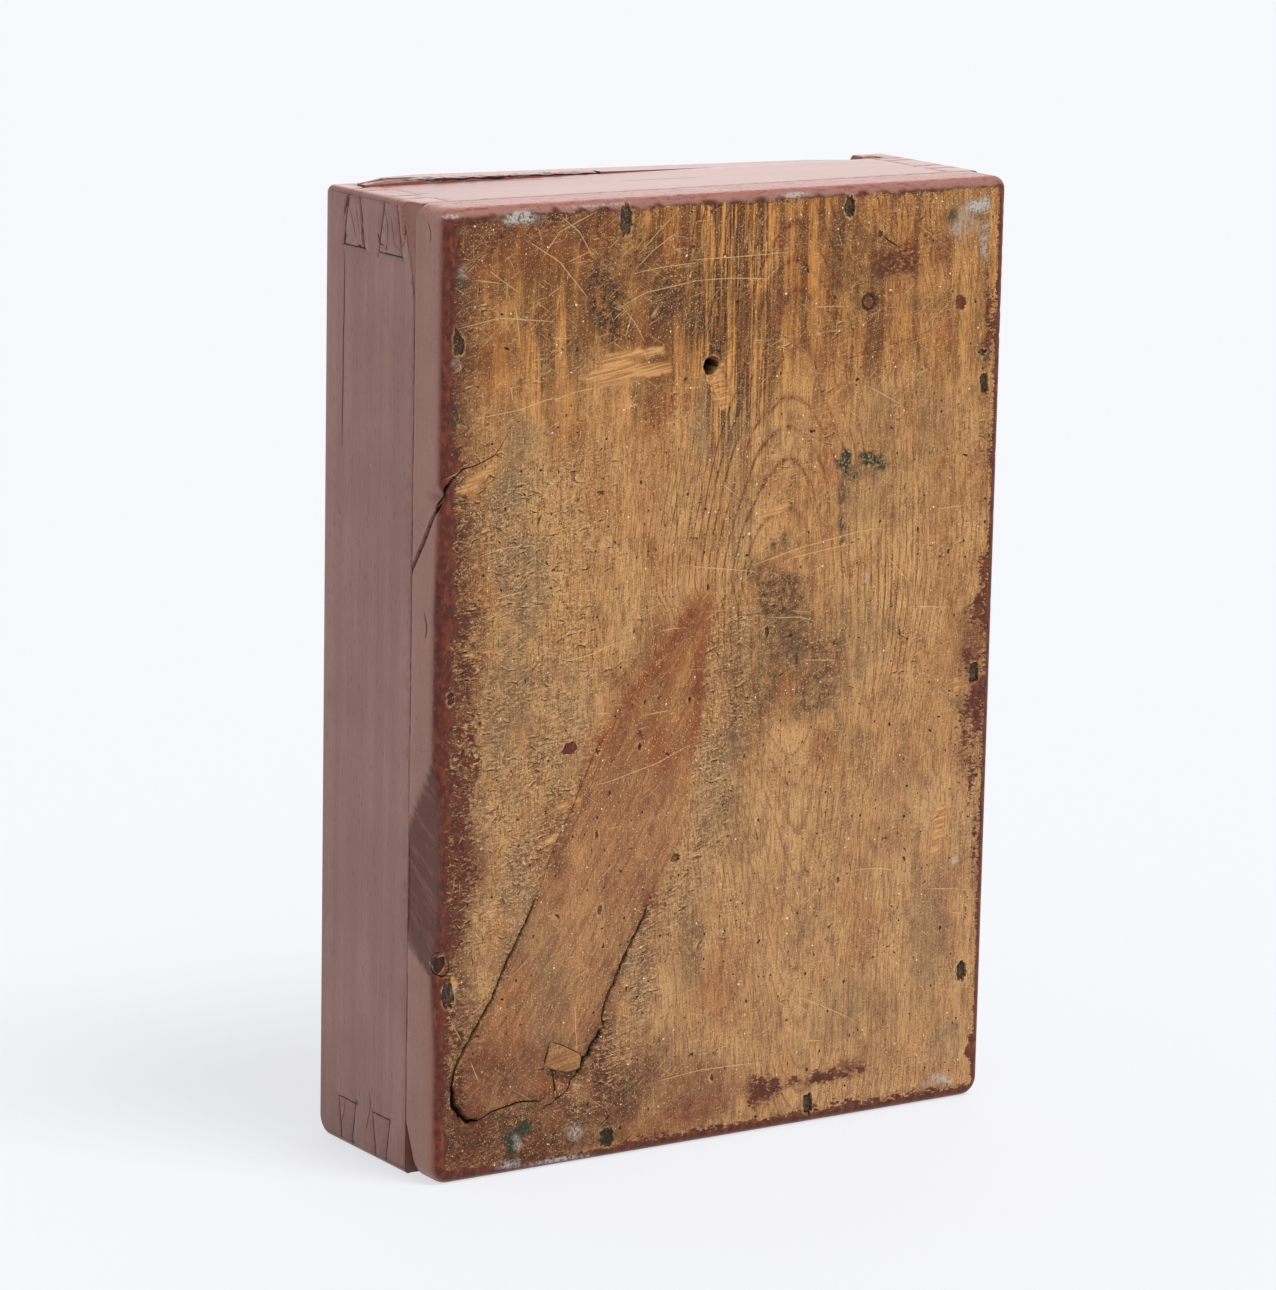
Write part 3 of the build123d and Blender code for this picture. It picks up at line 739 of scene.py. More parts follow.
def torn_flecks(count, seed):
    """Lifted fibres: a light line with a dark groove under it, thick on the rough parts of the face; the
    groove's darkness is painted shadow of the fibre.
    """
    draw = np.random.default_rng(seed)
    low = (-half_width + 7, 30)
    high = (half_width - 8, board_length - 12)
    tried = 400
    lean = 8
    lean_spread = 26
    bend_spread = 0.09
    shadow_share = 0.7
    flecks = []
    made = 0
    while made < count:
        places = draw.uniform(low, high, (tried, 2))
        kept = places[roughness_field(places) > draw.uniform(0.2, 1.0, tried)][:count - made]
        made += len(kept)
        for middle in kept:
            angle = radians(draw.normal(lean, lean_spread))
            line, across = bent_line(middle, angle, draw.uniform(1.5, 4.5), draw.normal(0, bend_spread))
            width = draw.uniform(0.3, 0.5)
            flecks.append(groove(line, width, 0.05, light=draw.uniform(0.4, 1.0), step=1.8))
            # The shadow groove's darkness is painted shadow under the lifted fibre.
            if draw.random() < shadow_share:
                shadow = line - across * width * 2.1
                flecks.append(groove(shadow, width, draw.uniform(0.25, 0.6), dark=0.45, step=1.8))
    return flecks


def all_grooves():
    """Every groove on the board in flat coordinates."""
    grooves = []
    for one in cracks.values():
        line = shaken(face_line(one["line"]), one["shake"])
        grooves.append(groove(line, one["half_width"], one["depth"], dark=one["dark"]))
    for one in side_cracks.values():
        line = [on_board_side(pixel) for pixel in one["line"]]
        grooves.append(groove(line, one["half_width"], one["depth"], dark=one["dark"]))
    for line in long_scratches:
        grooves.append(groove(face_line(line), 0.3, 0.12, light=1.0, step=3.0))
    for line in dark_scratches:
        grooves.append(groove(face_line(line), 0.3, 0.12, dark=0.5, step=3.0))
    upper = [(450, 215, 700, 430), (450, 215, 700, 430), (690, 200, 950, 420)]
    whole = [(450, 215, 960, 1060)]
    # Each family: how many, seed, boxes of pixels, lean and its spread in degrees, shortest and longest
    families = (
        (90, 41, upper, 38, 22, (2.5, 13)), (70, 42, upper, -35, 25, (2.5, 10)),
        (130, 43, whole, 12, 18, (2.5, 12)), (60, 44, whole, 88, 12, (3, 12)))
    for family in families:
        grooves += [groove(line, 0.2, 0.07, light=0.75, step=3.0) for line in random_lines(*family)]
    return grooves + torn_flecks(700, 45)


def groove_rails(one):
    """The two sides of a groove as polylines, and its middle."""
    line = one["line"]
    run = np.gradient(line, axis=0)
    run /= np.maximum(np.hypot(*run.T), 1e-9)[:, None]
    across = np.stack([-run[:, 1], run[:, 0]], 1)
    width = one["half_width"] * taper(np.linspace(0, 1, len(line)))
    return line + across * width[:, None], line, line - across * width[:, None]


def groove_fields(points, grooves):
    """Depth, lightness and darkness that the grooves give to every point."""
    depth = np.zeros(len(points))
    light = np.zeros(len(points))
    dark = np.zeros(len(points))
    for one in grooves:
        reach = one["half_width"] + 0.1
        near = near_box(points, one["line"].min(0) - reach, one["line"].max(0) + reach)
        if not len(near):
            continue
        distance, place = line_distance(points[near], one["line"])
        share = np.clip(1 - distance / (one["half_width"] * taper(place)), 0, 1)
        depth[near] = np.maximum(depth[near], one["depth"] * share)
        light[near] = np.maximum(light[near], one["light"] * share)
        dark[near] = np.maximum(dark[near], one["dark"] * np.clip(share * 3, 0, 1))
    return depth, light, dark


# Pits: nail holes, the worn hole and torn spots, each a closed rim with a floor

def ragged_ring(middle, half_across, half_up, count, ragged, squareness, seed):
    """A ragged closed outline between an ellipse and a rectangle."""
    draw = np.random.default_rng(seed)
    turns = np.arange(count) * tau / count
    reach = np.maximum(np.abs(np.cos(turns)), np.abs(np.sin(turns))) ** -squareness
    reach *= 1 + draw.normal(0, ragged, count)
    x = middle[0] + half_across * reach * np.cos(turns)
    return np.stack([x, middle[1] + half_up * reach * np.sin(turns)], 1)


def all_pits():
    """Every pit: its rim, how far inside it the floor starts, its depth and darkness."""
    pits = []
    for group, kinds in nail_holes.items():
        for number, (middle, kind) in enumerate(zip(nail_heads(group), kinds)):
            hole = nail_hole_kinds[kind]
            seed = 60 + 10 * list(nail_holes).index(group) + number
            rim = ragged_ring(middle, hole["across"], hole["up"], 26, 0.13, 0.5, seed)
            pits.append({"rim": rim, "inset": 0.35, "depth": hole["depth"], "dark": hole["dark"]})
    # The worn hole is painted fully black inside: painted shade of its deep inside.
    middle = (wear_hole["across"], wear_hole["height"])
    rim = ragged_ring(middle, wear_hole["radius"], wear_hole["radius"], 26, 0.04, 0.0, 71)
    pits.append({"rim": rim, "inset": 0.3, "depth": wear_hole["depth"], "dark": 1.0})
    for number, (pixel, across, up, depth) in enumerate(torn_pits):
        rim = ragged_ring(on_face(pixel), across, up, 16, 0.2, 0.0, 110 + number)
        pits.append({"rim": rim, "inset": 0.25, "depth": depth, "dark": 0.5})
    return pits


def shrink(rim, inset):
    """The rim drawn inwards by some millimetres."""
    middle = rim.mean(0)
    away = rim - middle
    reach = np.hypot(*away.T)[:, None]
    return middle + away * (reach - inset) / reach


def pit_fields(points, pits):
    """Depth, darkness and the light torn rim that the pits give to every point."""
    depth = np.zeros(len(points))
    dark = np.zeros(len(points))
    light = np.zeros(len(points))
    rim_reach = 1.1
    for number, pit in enumerate(pits):
        near = near_box(points, pit["rim"].min(0) - rim_reach, pit["rim"].max(0) + rim_reach)
        deep = inside_polygon(points[near], shrink(pit["rim"], pit["inset"] - 0.02))
        inside = inside_polygon(points[near], shrink(pit["rim"], 0.02))
        floor = pit["depth"] * (0.85 + 0.15 * np.sin(7 * ripple(points[near], 1.5, 130 + number)))
        depth[near] = np.maximum(depth[near], np.where(deep, floor, 0))
        dark[near] = np.maximum(dark[near], np.where(inside, pit["dark"], 0))
        away, _ = line_distance(points[near], np.concatenate([pit["rim"], pit["rim"][:1]]))
        ragged = (0.5 + 0.5 * ripple(points[near], 1.6, 160 + number)).clip(0)
        rim_light = np.where(inside, 0, (1 - away / rim_reach).clip(0) * ragged)
        light[near] = np.maximum(light[near], rim_light)
    return depth, dark, light


def hole_gouge_fields(points):
    """The torn groove below the worn hole: its depth and its fresh wood."""
    line = face_line([hole_gouge["top"], hole_gouge["end"]])
    distance, place = line_distance(points, line)
    width = hole_gouge["half_width"] * (1 - 0.45 * place) * (1 + 0.15 * ripple(points, 2.0, 94))
    share = np.clip(1 - (distance / width) ** 2, 0, 1)
    fibres = 0.5 * np.abs(ripple(points * (1, 0.25), 1.2, 95))
    return np.sqrt(share) * (hole_gouge["depth"] * (1 - 0.7 * place) - fibres).clip(0.1), np.sqrt(share)


def flap_fields(points):
    """The recess under the lifted flap below the knot: its depth and darkness."""
    edge = face_line(flap_edge)
    x, z = points.T
    edge_z = np.interp(x, edge[:, 0], edge[:, 1])
    left = edge[0, 0]
    right = edge[-1, 0]
    within = smooth(x, left + 2.5, left + 4.5) * (1 - smooth(x, right - 2, right + 0.5))
    below = np.clip((edge_z - z) / 0.35, 0, 1)
    runout = 1 - smooth(edge_z - z, 2.0, 9.0)
    share = within * below * runout
    return share * flap_recess_depth, share


# The board's mesh

class FlatSheet:
    """The flat points and lines that a mesh has to pass through."""

    def __init__(self):
        self.points = []
        self.edges = []

    def line(self, points, closed=False):
        """Add points in a row, with a line from each to the next."""
        start = len(self.points)
        self.points.extend(tuple(p) for p in points)
        count = len(points)
        self.edges.extend((start + k, start + k + 1) for k in range(count - 1))
        if closed:
            self.edges.append((start + count - 1, start))

    def scatter(self, points, distance):
        """Add the points that keep some distance to all that is in the sheet already."""
        tree = KDTree(len(self.points))
        for number, (x, z) in enumerate(self.points):
            tree.insert((x, z, 0), number)
        tree.balance()
        self.points.extend(tuple(p) for p in points if tree.find((p[0], p[1], 0))[2] > distance)

    def triangles(self, starts, ends):
        """The used points, the triangles inside an outline's edges, and the given point at each used one.

        The sheet's first points are the outline's. A flat triangle between three of them isn't kept."""
        coords = [Vector(p) for p in self.points]
        points, _, faces, sources, _, _ = delaunay_2d_cdt(coords, self.edges, [], 1, 1e-5, True)
        points = np.array([tuple(p) for p in points])
        faces = np.array(faces)
        sources = np.array([source[0] if source else -1 for source in sources])
        a, b, c = points[faces].transpose(1, 0, 2)
        area = np.abs((b - a)[:, 0] * (c - a)[:, 1] - (b - a)[:, 1] * (c - a)[:, 0])
        longest = np.maximum.reduce([np.hypot(*(b - a).T), np.hypot(*(c - b).T), np.hypot(*(a - c).T)])
        on_rim = ((sources >= 0) & (sources < len(starts)))[faces].all(1)
        kept = inside_edges((a + b + c) / 3, starts, ends) & ~(on_rim & (area < 0.001 * longest))
        used, faces = np.unique(faces[kept], return_inverse=True)
        return points[used], faces.reshape(-1, 3).tolist(), sources[used].tolist()


face_step = 1.55
side_step = 2.2


def flat_grid(low, high, step, seed):
    """A loose triangular grid of points."""
    draw = np.random.default_rng(seed)
    rows = []
    for number, z in enumerate(np.arange(low[1], high[1], step * 0.87)):
        x = np.arange(low[0] + (number % 2) * step / 2, high[0], step)
        rows.append(np.stack([x, np.full_like(x, z)], 1))
    grid = np.concatenate(rows)
    return grid + draw.uniform(-0.2, 0.2, grid.shape) * step


def board_sheet(grooves, pits):
    """The flat sheet of the face, its arris and its sides."""
    sheet = FlatSheet()
    sheet.line(ring_points(wrap_reach, side_step), closed=True)
    for one in grooves:
        for rail in groove_rails(one):
            rail = rail[outside_face(rail)[0] < wrap_reach - 1.2]
            if len(rail) > 1:
                sheet.line(rail)
    for pit in pits:
        sheet.line(pit["rim"], closed=True)
        sheet.line(shrink(pit["rim"], pit["inset"]), closed=True)
    edge = face_line(flap_edge)
    for drop in (0.0, 0.35):
        sheet.line(resample(edge - (0, drop), 1.0))
    sheet.scatter(ring_points(wrap_reach - joint_wear_width, side_step), 0.3)
    arris_steps = 6
    for number in range(arris_steps + 1):
        sheet.scatter(ring_points(arris_reach * number / arris_steps, face_step), 0.3)
    side_rings = int((wrap_reach - arris_reach) / side_step)
    for number in range(1, side_rings):
        offset = arris_reach + (wrap_reach - arris_reach) * number / side_rings
        sheet.scatter(ring_points(offset, side_step), 0.5)
    gouge = face_line([hole_gouge["top"], hole_gouge["end"]])
    round_middle = face_line([round_knot["middle"]])
    # The parts with fine shapes: what they lie round, by how much more below and above, step and seed
    fine = [(pit["rim"], 1.5, 1.5, 0.75, 52) for pit in pits]
    fine += [(gouge, 5, 5, 0.6, 53), (round_middle, 5, 5, 0.55, 57), (edge, (1, 8), (1, 3), 0.7, 54)]
    for around, below, beyond, step, seed in fine:
        sheet.scatter(flat_grid(around.min(0) - below, around.max(0) + beyond, step, seed), 0.3)
    grid = flat_grid(face_low, face_high, face_step, 51)
    sheet.scatter(grid[outside_face(grid)[0] < -0.5], face_step * 0.45)
    return sheet


def new_object(name, points, faces, material, sharp_angle=None):
    """A mesh object from points in millimetres."""
    mesh = bpy.data.meshes.new(name)
    mesh.from_pydata([tuple(p) for p in points * MM], [], faces)
    mesh.materials.append(material)
    mesh.shade_smooth()
    if sharp_angle:
        mesh.set_sharp_from_angle(angle=radians(sharp_angle))
    made = bpy.data.objects.new(name, mesh)
    bpy.context.scene.collection.objects.link(made)
    return made


def add_fields(mesh, fields, spare_points=0):
    """Store numbers per vertex, for the material to read."""
    for name, values in fields.items():
        attribute = mesh.attributes.new(name, "FLOAT", "POINT")
        numbers = np.concatenate([values, np.zeros(spare_points)]).astype(np.float32)
        attribute.data.foreach_set("value", numbers)


def rim_loop(faces):
    """The numbers round the open edge of a sheet, in the order of its faces."""
    directed = {(face[k - 1], face[k]) for face in faces for k in range(len(face))}
    following = {start: end for start, end in directed if (end, start) not in directed}
    loop = [min(following)]
    while following[loop[-1]] != loop[0]:
        loop.append(following[loop[-1]])
    return loop


def back_sheet(rim):
    """The board's inner face: its own points, and triangles that count the points of the rim first."""
    sheet = FlatSheet()
    outline = rim[:, [0, 2]]
    sheet.line(outline, closed=True)
    corner = flat_grid((-half_width + 1, 1), (-half_width + gap_reach + 3, gap_height + 4), 2.0, 56)
    wide = flat_grid((-half_width + 6, 6), (half_width - 6, board_length - 6), 18.0, 55)
    for places, distance in ((corner, 1.0), (wide, 3.0)):
        sheet.scatter(places[inside_polygon(places, outline)], distance)
    points, faces, sources = sheet.triangles(outline, np.roll(outline, -1, 0))
    fresh = [k for k, source in enumerate(sources) if not 0 <= source < len(rim)]
    numbers = dict(enumerate(sources))
    numbers.update({k: len(rim) + place for place, k in enumerate(fresh)})
    x, z = points[fresh].reshape(-1, 2).T
    extra = np.stack([x, np.minimum(joint_plane, split_y(x, z)), z], 1)
    return extra, [[numbers[k] for k in face] for face in faces]


joint_wear_width = 0.9
joint_wear_depth = 0.55


def board_relief(flat, outside, rough, grooves, pits):
    """How far each place of the board lies inside its true surface, and the marks that go with that."""
    _, from_left, _, within = knot_band(flat)
    groove_depth, scratch, crack = groove_fields(flat, grooves)
    pit_depth, pit_dark, pit_rim = pit_fields(flat, pits)
    gouge_depth, gouge = hole_gouge_fields(flat)
    recess_depth, recess = flap_fields(flat)
    on_the_face = 1 - smooth(outside, -2, 1)
    wear = 0.12 + 0.1 * ripple(flat, 45, 14) + 0.16 * rough + 0.08 * rough * ripple(flat, 3, 15)
    round_middle = np.array(on_face(round_knot["middle"]))
    knot_ring = np.hypot(*(flat - round_middle).T) - round_knot["ring"]
    ring_groove = 1 - smooth(np.abs(knot_ring), 0.3, round_knot["width"])
    border = 0.35 * (1 - smooth(np.abs(from_left + 1.5), 0.5, 4)) * within
    chatter = 0.3 * (ripple(flat, 2.6, 16) * ripple(flat, 9, 17)).clip(0, 1.2)
    chatter *= smooth(outside, -2, 0.5) * (1 - smooth(outside, 4, 6)) * smooth(flat[:, 1], 150, 390)
    joint = joint_wear_depth * smooth(outside, wrap_reach - joint_wear_width, wrap_reach)
    beside_facet = (flat[:, 0] < 0) & (flat[:, 1] > facet_foot) & (flat[:, 1] < facet_top)
    joint *= (1 + 0.4 * ripple(flat, 14, 18)) * np.where(beside_facet, 0.3, 1.0)
    sunk = (wear.clip(0) * on_the_face + chatter + joint + np.maximum.reduce([
        groove_depth, pit_depth, gouge_depth, recess_depth, ring_groove * round_knot["depth"], border]))
    # The black mark: dark cracks, nail holes, torn pits and the round knot's ring, and painted shade under
    # the lifted fibres, inside the deep worn hole and along the rear edge where the board meets the frame.
    marks = {"scratch": np.maximum(scratch, 0.55 * pit_rim), "recess": recess, "gouge": gouge,
             "black": np.maximum.reduce([crack, pit_dark, 0.75 * ring_groove,
                                         0.85 * smooth(outside, wrap_reach - 0.5, wrap_reach)]),
             "round_knot": smooth(-knot_ring, -0.5, 0.5)}
    return sunk, marks


def crack_halo(flat):
    """The dirt beside the cracks round the knot, widest at its foot."""
    halo = np.zeros(len(flat))
    for name in ("knot_left", "knot_foot", "knot_right", "knot_right_foot", "knot_under"):
        distance, _ = line_distance(flat, face_line(cracks[name]["line"]))
        reach = 5.0 if "foot" in name else 2.0
        halo = np.maximum(halo, 0.8 * np.exp(-distance / reach))
    return halo


def board_fields(flat, outside, rough, marks):
    """The numbers that the bottom board's material reads at every point."""
    x, z = flat.T
    knot, from_left, from_right, within = knot_band(flat)
    red_edges = np.maximum(np.exp(-np.abs(from_left) / 3), 0.8 * np.exp(-np.abs(from_right + 2) / 4))
    red_edges *= smooth(z, 120, 190) * within
    edge_dirt = 0.7 * (1 - smooth(x + half_width + 3 * ripple(flat, 14, 20), 5, 22))
    fresh = [0.9 * patch(flat, pixels, 0.5, 0.5, 90 + number) for number, pixels in enumerate(fresh_patches)]
    fresh += [0.35 * patch(flat, flap_outline, 0.3), 0.9 * marks["gouge"]]
    at_lid_end = smooth(z + 0.9 * ripple(flat, 4, 19), board_length - 4.2, board_length - 2.8)
    side_start = 4.6 - 2.6 * (1 - smooth(z, 50, 110)) - 1.8 * smooth(z, 230, 290)
    fields = {kind: stain_field(flat, kind) for kind in stain_spots if kind != "smudge"}
    fields["dark"] = np.maximum.reduce([fields["dark"], crack_halo(flat), 0.8 * marks["recess"], edge_dirt])
    fields["umber"] = np.maximum(fields["umber"], 1.2 * edge_dirt)
    fields["warm"] = np.maximum.reduce([fields["warm"], red_edges, 0.8 * marks["round_knot"]])
    return fields | {
        "ring": ring_field(flat), "ring_show": ring_contrast(flat), "rough": rough, "knot": knot,
        "top": worn_top_field(flat), "rib": rib_field(flat), "fresh": np.maximum.reduce(fresh),
        "paint": np.maximum(paint_field(flat), 1.5 * patch(flat, red_drop, 0.25)),
        "side": np.maximum(smooth(outside - side_start, 0, 2.8), at_lid_end),
        "black": marks["black"], "scratch": marks["scratch"], "facet": marks["planed"]}


def make_bottom_board(material):
    """The nailed-on bottom board with its wear, as one closed mesh."""
    grooves = all_grooves()
    pits = all_pits()
    outline = ring_points(wrap_reach, side_step)
    flat, faces, _ = board_sheet(grooves, pits).triangles(outline, np.roll(outline, -1, 0))
    outside = outside_face(flat)[0]
    rough = roughness_field(flat) * (1 - smooth(outside, -2, 1))
    sunk, marks = board_relief(flat, outside, rough, grooves, pits)
    placed, marks["planed"] = cut_damage(wrap(flat, sunk))

    rim = rim_loop(faces)
    extra, back_faces = back_sheet(placed[rim])
    numbers = list(rim) + list(range(len(placed), len(placed) + len(extra)))
    back_faces = [tuple(int(numbers[k]) for k in reversed(face)) for face in back_faces]
    points = np.concatenate([placed, extra])
    board = new_object("bottom_board_worn", points, faces + back_faces, material, 42)
    add_fields(board.data, board_fields(flat, outside, rough, marks), len(extra))
    return board


# Worn copies of the frame boards

def node_mesh(name):
    """A node's points, with doubles joined, and its faces."""
    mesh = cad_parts[name].data
    raw = np.array([tuple(vertex.co / MM) for vertex in mesh.vertices])
    points, numbers = np.unique(np.round(raw, 3), axis=0, return_inverse=True)
    numbers = numbers.ravel()
    faces = [[int(numbers[k]) for k in polygon.vertices] for polygon in mesh.polygons]
    return points, [face for face in faces if len(set(face)) == len(face)]


class WornBoard:
    """A board's mesh whose flat outer faces get worn edges with painted shade along the joints, and cracks.
    """

    rim_step = 4.0
    grid_step = 5.0
    worn_width = 0.8
    flat_tolerance = 0.02

    def __init__(self, node):
        self.points, self.faces = node_mesh(node)
        self.renewed = []
        self.seam_shade, self.scratch, self.crack = np.zeros((3, len(self.points)))

    def normal(self, face):
        """The direction in which a face looks."""
        corners = self.points[face]
        total = np.cross(corners, np.roll(corners, -1, 0)).sum(0)
        return total / max(np.linalg.norm(total), 1e-9)

    def add_points(self, places):
        """Append points and give their numbers."""
        first = len(self.points)
        spare = np.zeros(len(places))
        self.points = np.concatenate([self.points, places])
        self.seam_shade = np.concatenate([self.seam_shade, spare])
        self.scratch = np.concatenate([self.scratch, spare])
        self.crack = np.concatenate([self.crack, spare])
        return list(range(first, len(self.points)))

    def split_rim(self, rim, rest, step):
        """Put points along each rim edge, in the neighbouring faces too, and give the edges as chains."""
        owners = {(face[k - 1], face[k]): face for face in rest for k in range(len(face))}
        chains = []
        for start, end in rim:
            length = np.linalg.norm(self.points[end] - self.points[start])
            count = max(1, ceil(length / step))
            places = [self.points[start] + (self.points[end] - self.points[start]) * k / count
                      for k in range(1, count)]
            between = self.add_points(np.array(places).reshape(-1, 3))
            owner = owners.get((end, start))
            if owner is not None and between:
                place = owner.index(start)
                owner[place:place] = between[::-1]
            chains.append(([start] + between + [end], owner))
        return chains

    @staticmethod
    def crosses(pair, starts, ends):
        """Whether the line between two points comes too close to any rim edge."""
        clearance = 0.25
        places = pair[0] + (pair[1] - pair[0]) * np.linspace(0, 1, 9)[:, None]
        runs = ends - starts
        lengths = np.maximum(np.hypot(*runs.T), 1e-9)
        for place in places:
            t = np.clip(((place - starts) * runs).sum(1) / lengths ** 2, 0, 1)
            if np.hypot(*(place - starts - runs * t[:, None]).T).min() < clearance:
                return True
        return False

    def worn_rim(self, chains, axis, plane_axes, outward):
        """The rim points where a face meets other boards, and the places just inside those edges."""
        worn = set()
        inner = []
        for chain, owner in chains:
            if owner is None or abs(self.normal(owner)[axis]) > 0.3:
                continue
            worn.update(chain)
            line = self.points[chain][:, plane_axes]
            run = (line[-1] - line[0]) / np.linalg.norm(line[-1] - line[0])
            inwards = self.worn_width * outward * np.array((-run[1], run[0]))
            inner.extend(line[:-1] + (line[1:] - line[:-1]) / 2 + inwards)
            inner.extend(line[1:-1] + inwards)
        return worn, np.array(inner).reshape(-1, 2)

    def add_rails(self, sheet, grooves, starts, ends):
        """Put the middles and sides of grooves in a sheet, where they stay clear of its rim."""
        for rail in [rail for one in grooves for rail in groove_rails(one)]:
            kept = inside_edges(rail, starts, ends)
            for k in range(len(rail) - 1):
                pair = rail[k:k + 2]
                if kept[k:k + 2].all() and not self.crosses(pair, starts, ends):
                    sheet.line(pair)

    def renew_face(self, axis, value, lines=(), wear=0.4, seed=1):
        """Cut one flat outer face into small triangles, with worn edges where it meets other boards."""
        level = np.abs(self.points[:, axis] - value) < self.flat_tolerance
        flat = [face for face in self.faces if all(level[k] for k in face)]
        if not flat:
            return
        rest = [face for face in self.faces if not all(level[k] for k in face)]
        outward = 1 if self.normal(flat[0])[axis] > 0 else -1
        plane_axes = [(axis + 1) % 3, (axis + 2) % 3]
        directed = {(face[k - 1], face[k]) for face in flat for k in range(len(face))}
        rim = sorted(edge for edge in directed if (edge[1], edge[0]) not in directed)
        chains = self.split_rim(rim, rest, self.rim_step)

        sheet = FlatSheet()
        numbers = sorted({k for chain, _ in chains for k in chain})
        place_of = {number: place for place, number in enumerate(numbers)}
        sheet.points = [tuple(self.points[k, plane_axes]) for k in numbers]
        sheet.edges = [(place_of[a], place_of[b]) for chain, _ in chains for a, b in zip(chain, chain[1:])]
        starts = np.array([sheet.points[a] for a, _ in sheet.edges])
        ends = np.array([sheet.points[b] for _, b in sheet.edges])
        worn, inner = self.worn_rim(chains, axis, plane_axes, outward)
        grooves = [groove(*line) for line in lines]
        self.add_rails(sheet, grooves, starts, ends)
        low = np.array(sheet.points).min(0)
        high = np.array(sheet.points).max(0)
        for places, distance in ((inner, 0.3), (flat_grid(low, high, self.grid_step, seed), 1.5)):
            places = places[inside_edges(places, starts, ends)]
            sheet.scatter(places, distance)

        points, faces, sources = sheet.triangles(starts, ends)
        fresh = [k for k, source in enumerate(sources) if not 0 <= source < len(numbers)]
        places = np.zeros((len(fresh), 3))
        places[:, axis] = value
        places[:, plane_axes] = points[fresh]
        added = dict(zip(fresh, self.add_points(places)))
        mesh_number = [added[k] if k in added else numbers[source] for k, source in enumerate(sources)]
        depth, light, dark = groove_fields(points, grooves)
        for k, number in enumerate(mesh_number):
            edge = number in worn
            uneven = np.sin(points[k] @ (0.9, 0.37)) * np.sin(points[k] @ (0.21, 0.53))
            rounding = wear * (0.8 + 0.5 * uneven)
            self.points[number, axis] = value - outward * max(depth[k], edge * rounding)
            # Painted shade along the joints where this face meets other boards.
            self.seam_shade[number] = max(self.seam_shade[number], float(edge))
            self.scratch[number] = light[k]
            self.crack[number] = dark[k]
        if outward < 0:
            faces = [face[::-1] for face in faces]
        new_faces = [[mesh_number[k] for k in face] for face in faces]
        self.faces = rest + new_faces
        self.renewed += new_faces

    def make(self, name, material):
        """The finished board, with its painted seam shade per face corner, so that it doesn't spread over
        long faces.
        """
        used = sorted({k for face in self.faces for k in face})
        place_of = {number: place for place, number in enumerate(used)}
        faces = [[place_of[k] for k in face] for face in self.faces]
        board = new_object(name, self.points[used], faces, material, 25)
        add_fields(board.data, {"scratch": self.scratch[used], "black": self.crack[used]})
        renewed = {id(face) for face in self.renewed}
        seam_shade = [self.seam_shade[k] * (id(face) in renewed) for face in self.faces for k in face]
        attribute = board.data.attributes.new("seam_shade", "FLOAT", "CORNER")
        attribute.data.foreach_set("value", np.array(seam_shade, np.float32))
        return board


# Cracks and chips of the left side: line, half width, depth, lightness, darkness
left_side_marks = [
    ([(344, 248), (344.5, 270), (344, 314), (343.2, 340), (343, 379), (342.3, 410), (342, 448)],
     0.5, 1.2, 0, 1),
    ([(348, 193), (346, 203), (344, 215)], 1, 1.4, 0, 1),
    ([(360, 196), (361.5, 210), (363, 222), (361.5, 232), (362.5, 244)], 0.4, 0.8, 0, 1),
    ([(346, 231), (345.5, 238), (344, 244)], 0.9, 0.6, 0, 1), ([(358, 245), (362, 247)], 0.6, 0.6, 0, 1),
    ([(378, 236), (379, 243), (384, 246)], 0.6, 0.5, 0, 0.9), ([(397, 247), (400, 251)], 0.7, 0.5, 0, 1),
    ([(405, 206), (406, 222), (404, 244)], 0.7, 0.8, 0, 0.9),
    ([(417, 240), (414, 262), (413, 300)], 0.5, 0.5, 0, 0.8),
    ([(385, 210), (388, 228), (387, 243)], 0.35, 0.6, 0, 0.8),
    ([(391, 216), (393, 232), (395, 247)], 0.3, 0.5, 0, 0.7),
    ([(349, 206), (353, 222), (356, 238)], 0.3, 0.5, 0, 0.7),
    ([(356, 205), (358, 222), (359, 236)], 0.3, 0.4, 0, 0.6), ([(339, 505), (340, 511)], 0.6, 0.8, 0, 0.9),
    ([(401.5, 202), (403, 220), (403.5, 240), (401, 252)], 0.8, 0.5, 1, 0),
    ([(355, 498), (355.5, 502)], 0.6, 0.15, 1, 0), ([(359, 536), (359.5, 544)], 0.5, 0.15, 1, 0),
    ([(408, 816), (408, 826)], 0.6, 0.15, 0.7, 0), ([(364, 1064), (364, 1071)], 0.5, 0.15, 1, 0),
    ([(394, 1081), (395, 1091)], 0.7, 0.15, 1, 0),
    ([(369, 1093), (371, 1103), (366, 1130)], 0.35, 0.6, 0, 0.8),
    ([(345, 1100), (344, 1112), (341, 1124)], 0.35, 0.6, 0, 0.7),
]
top_marks = [
    ([(396, 196), (410, 194.6), (432, 193)], 0.5, 0.4, 0, 0.5),
    ([(500, 181), (540, 179.5), (580, 178)], 0.35, 0.3, 0, 0.4),
    ([(620, 181), (668, 178.6), (700, 177.2)], 0.35, 0.3, 0, 0.4),
]


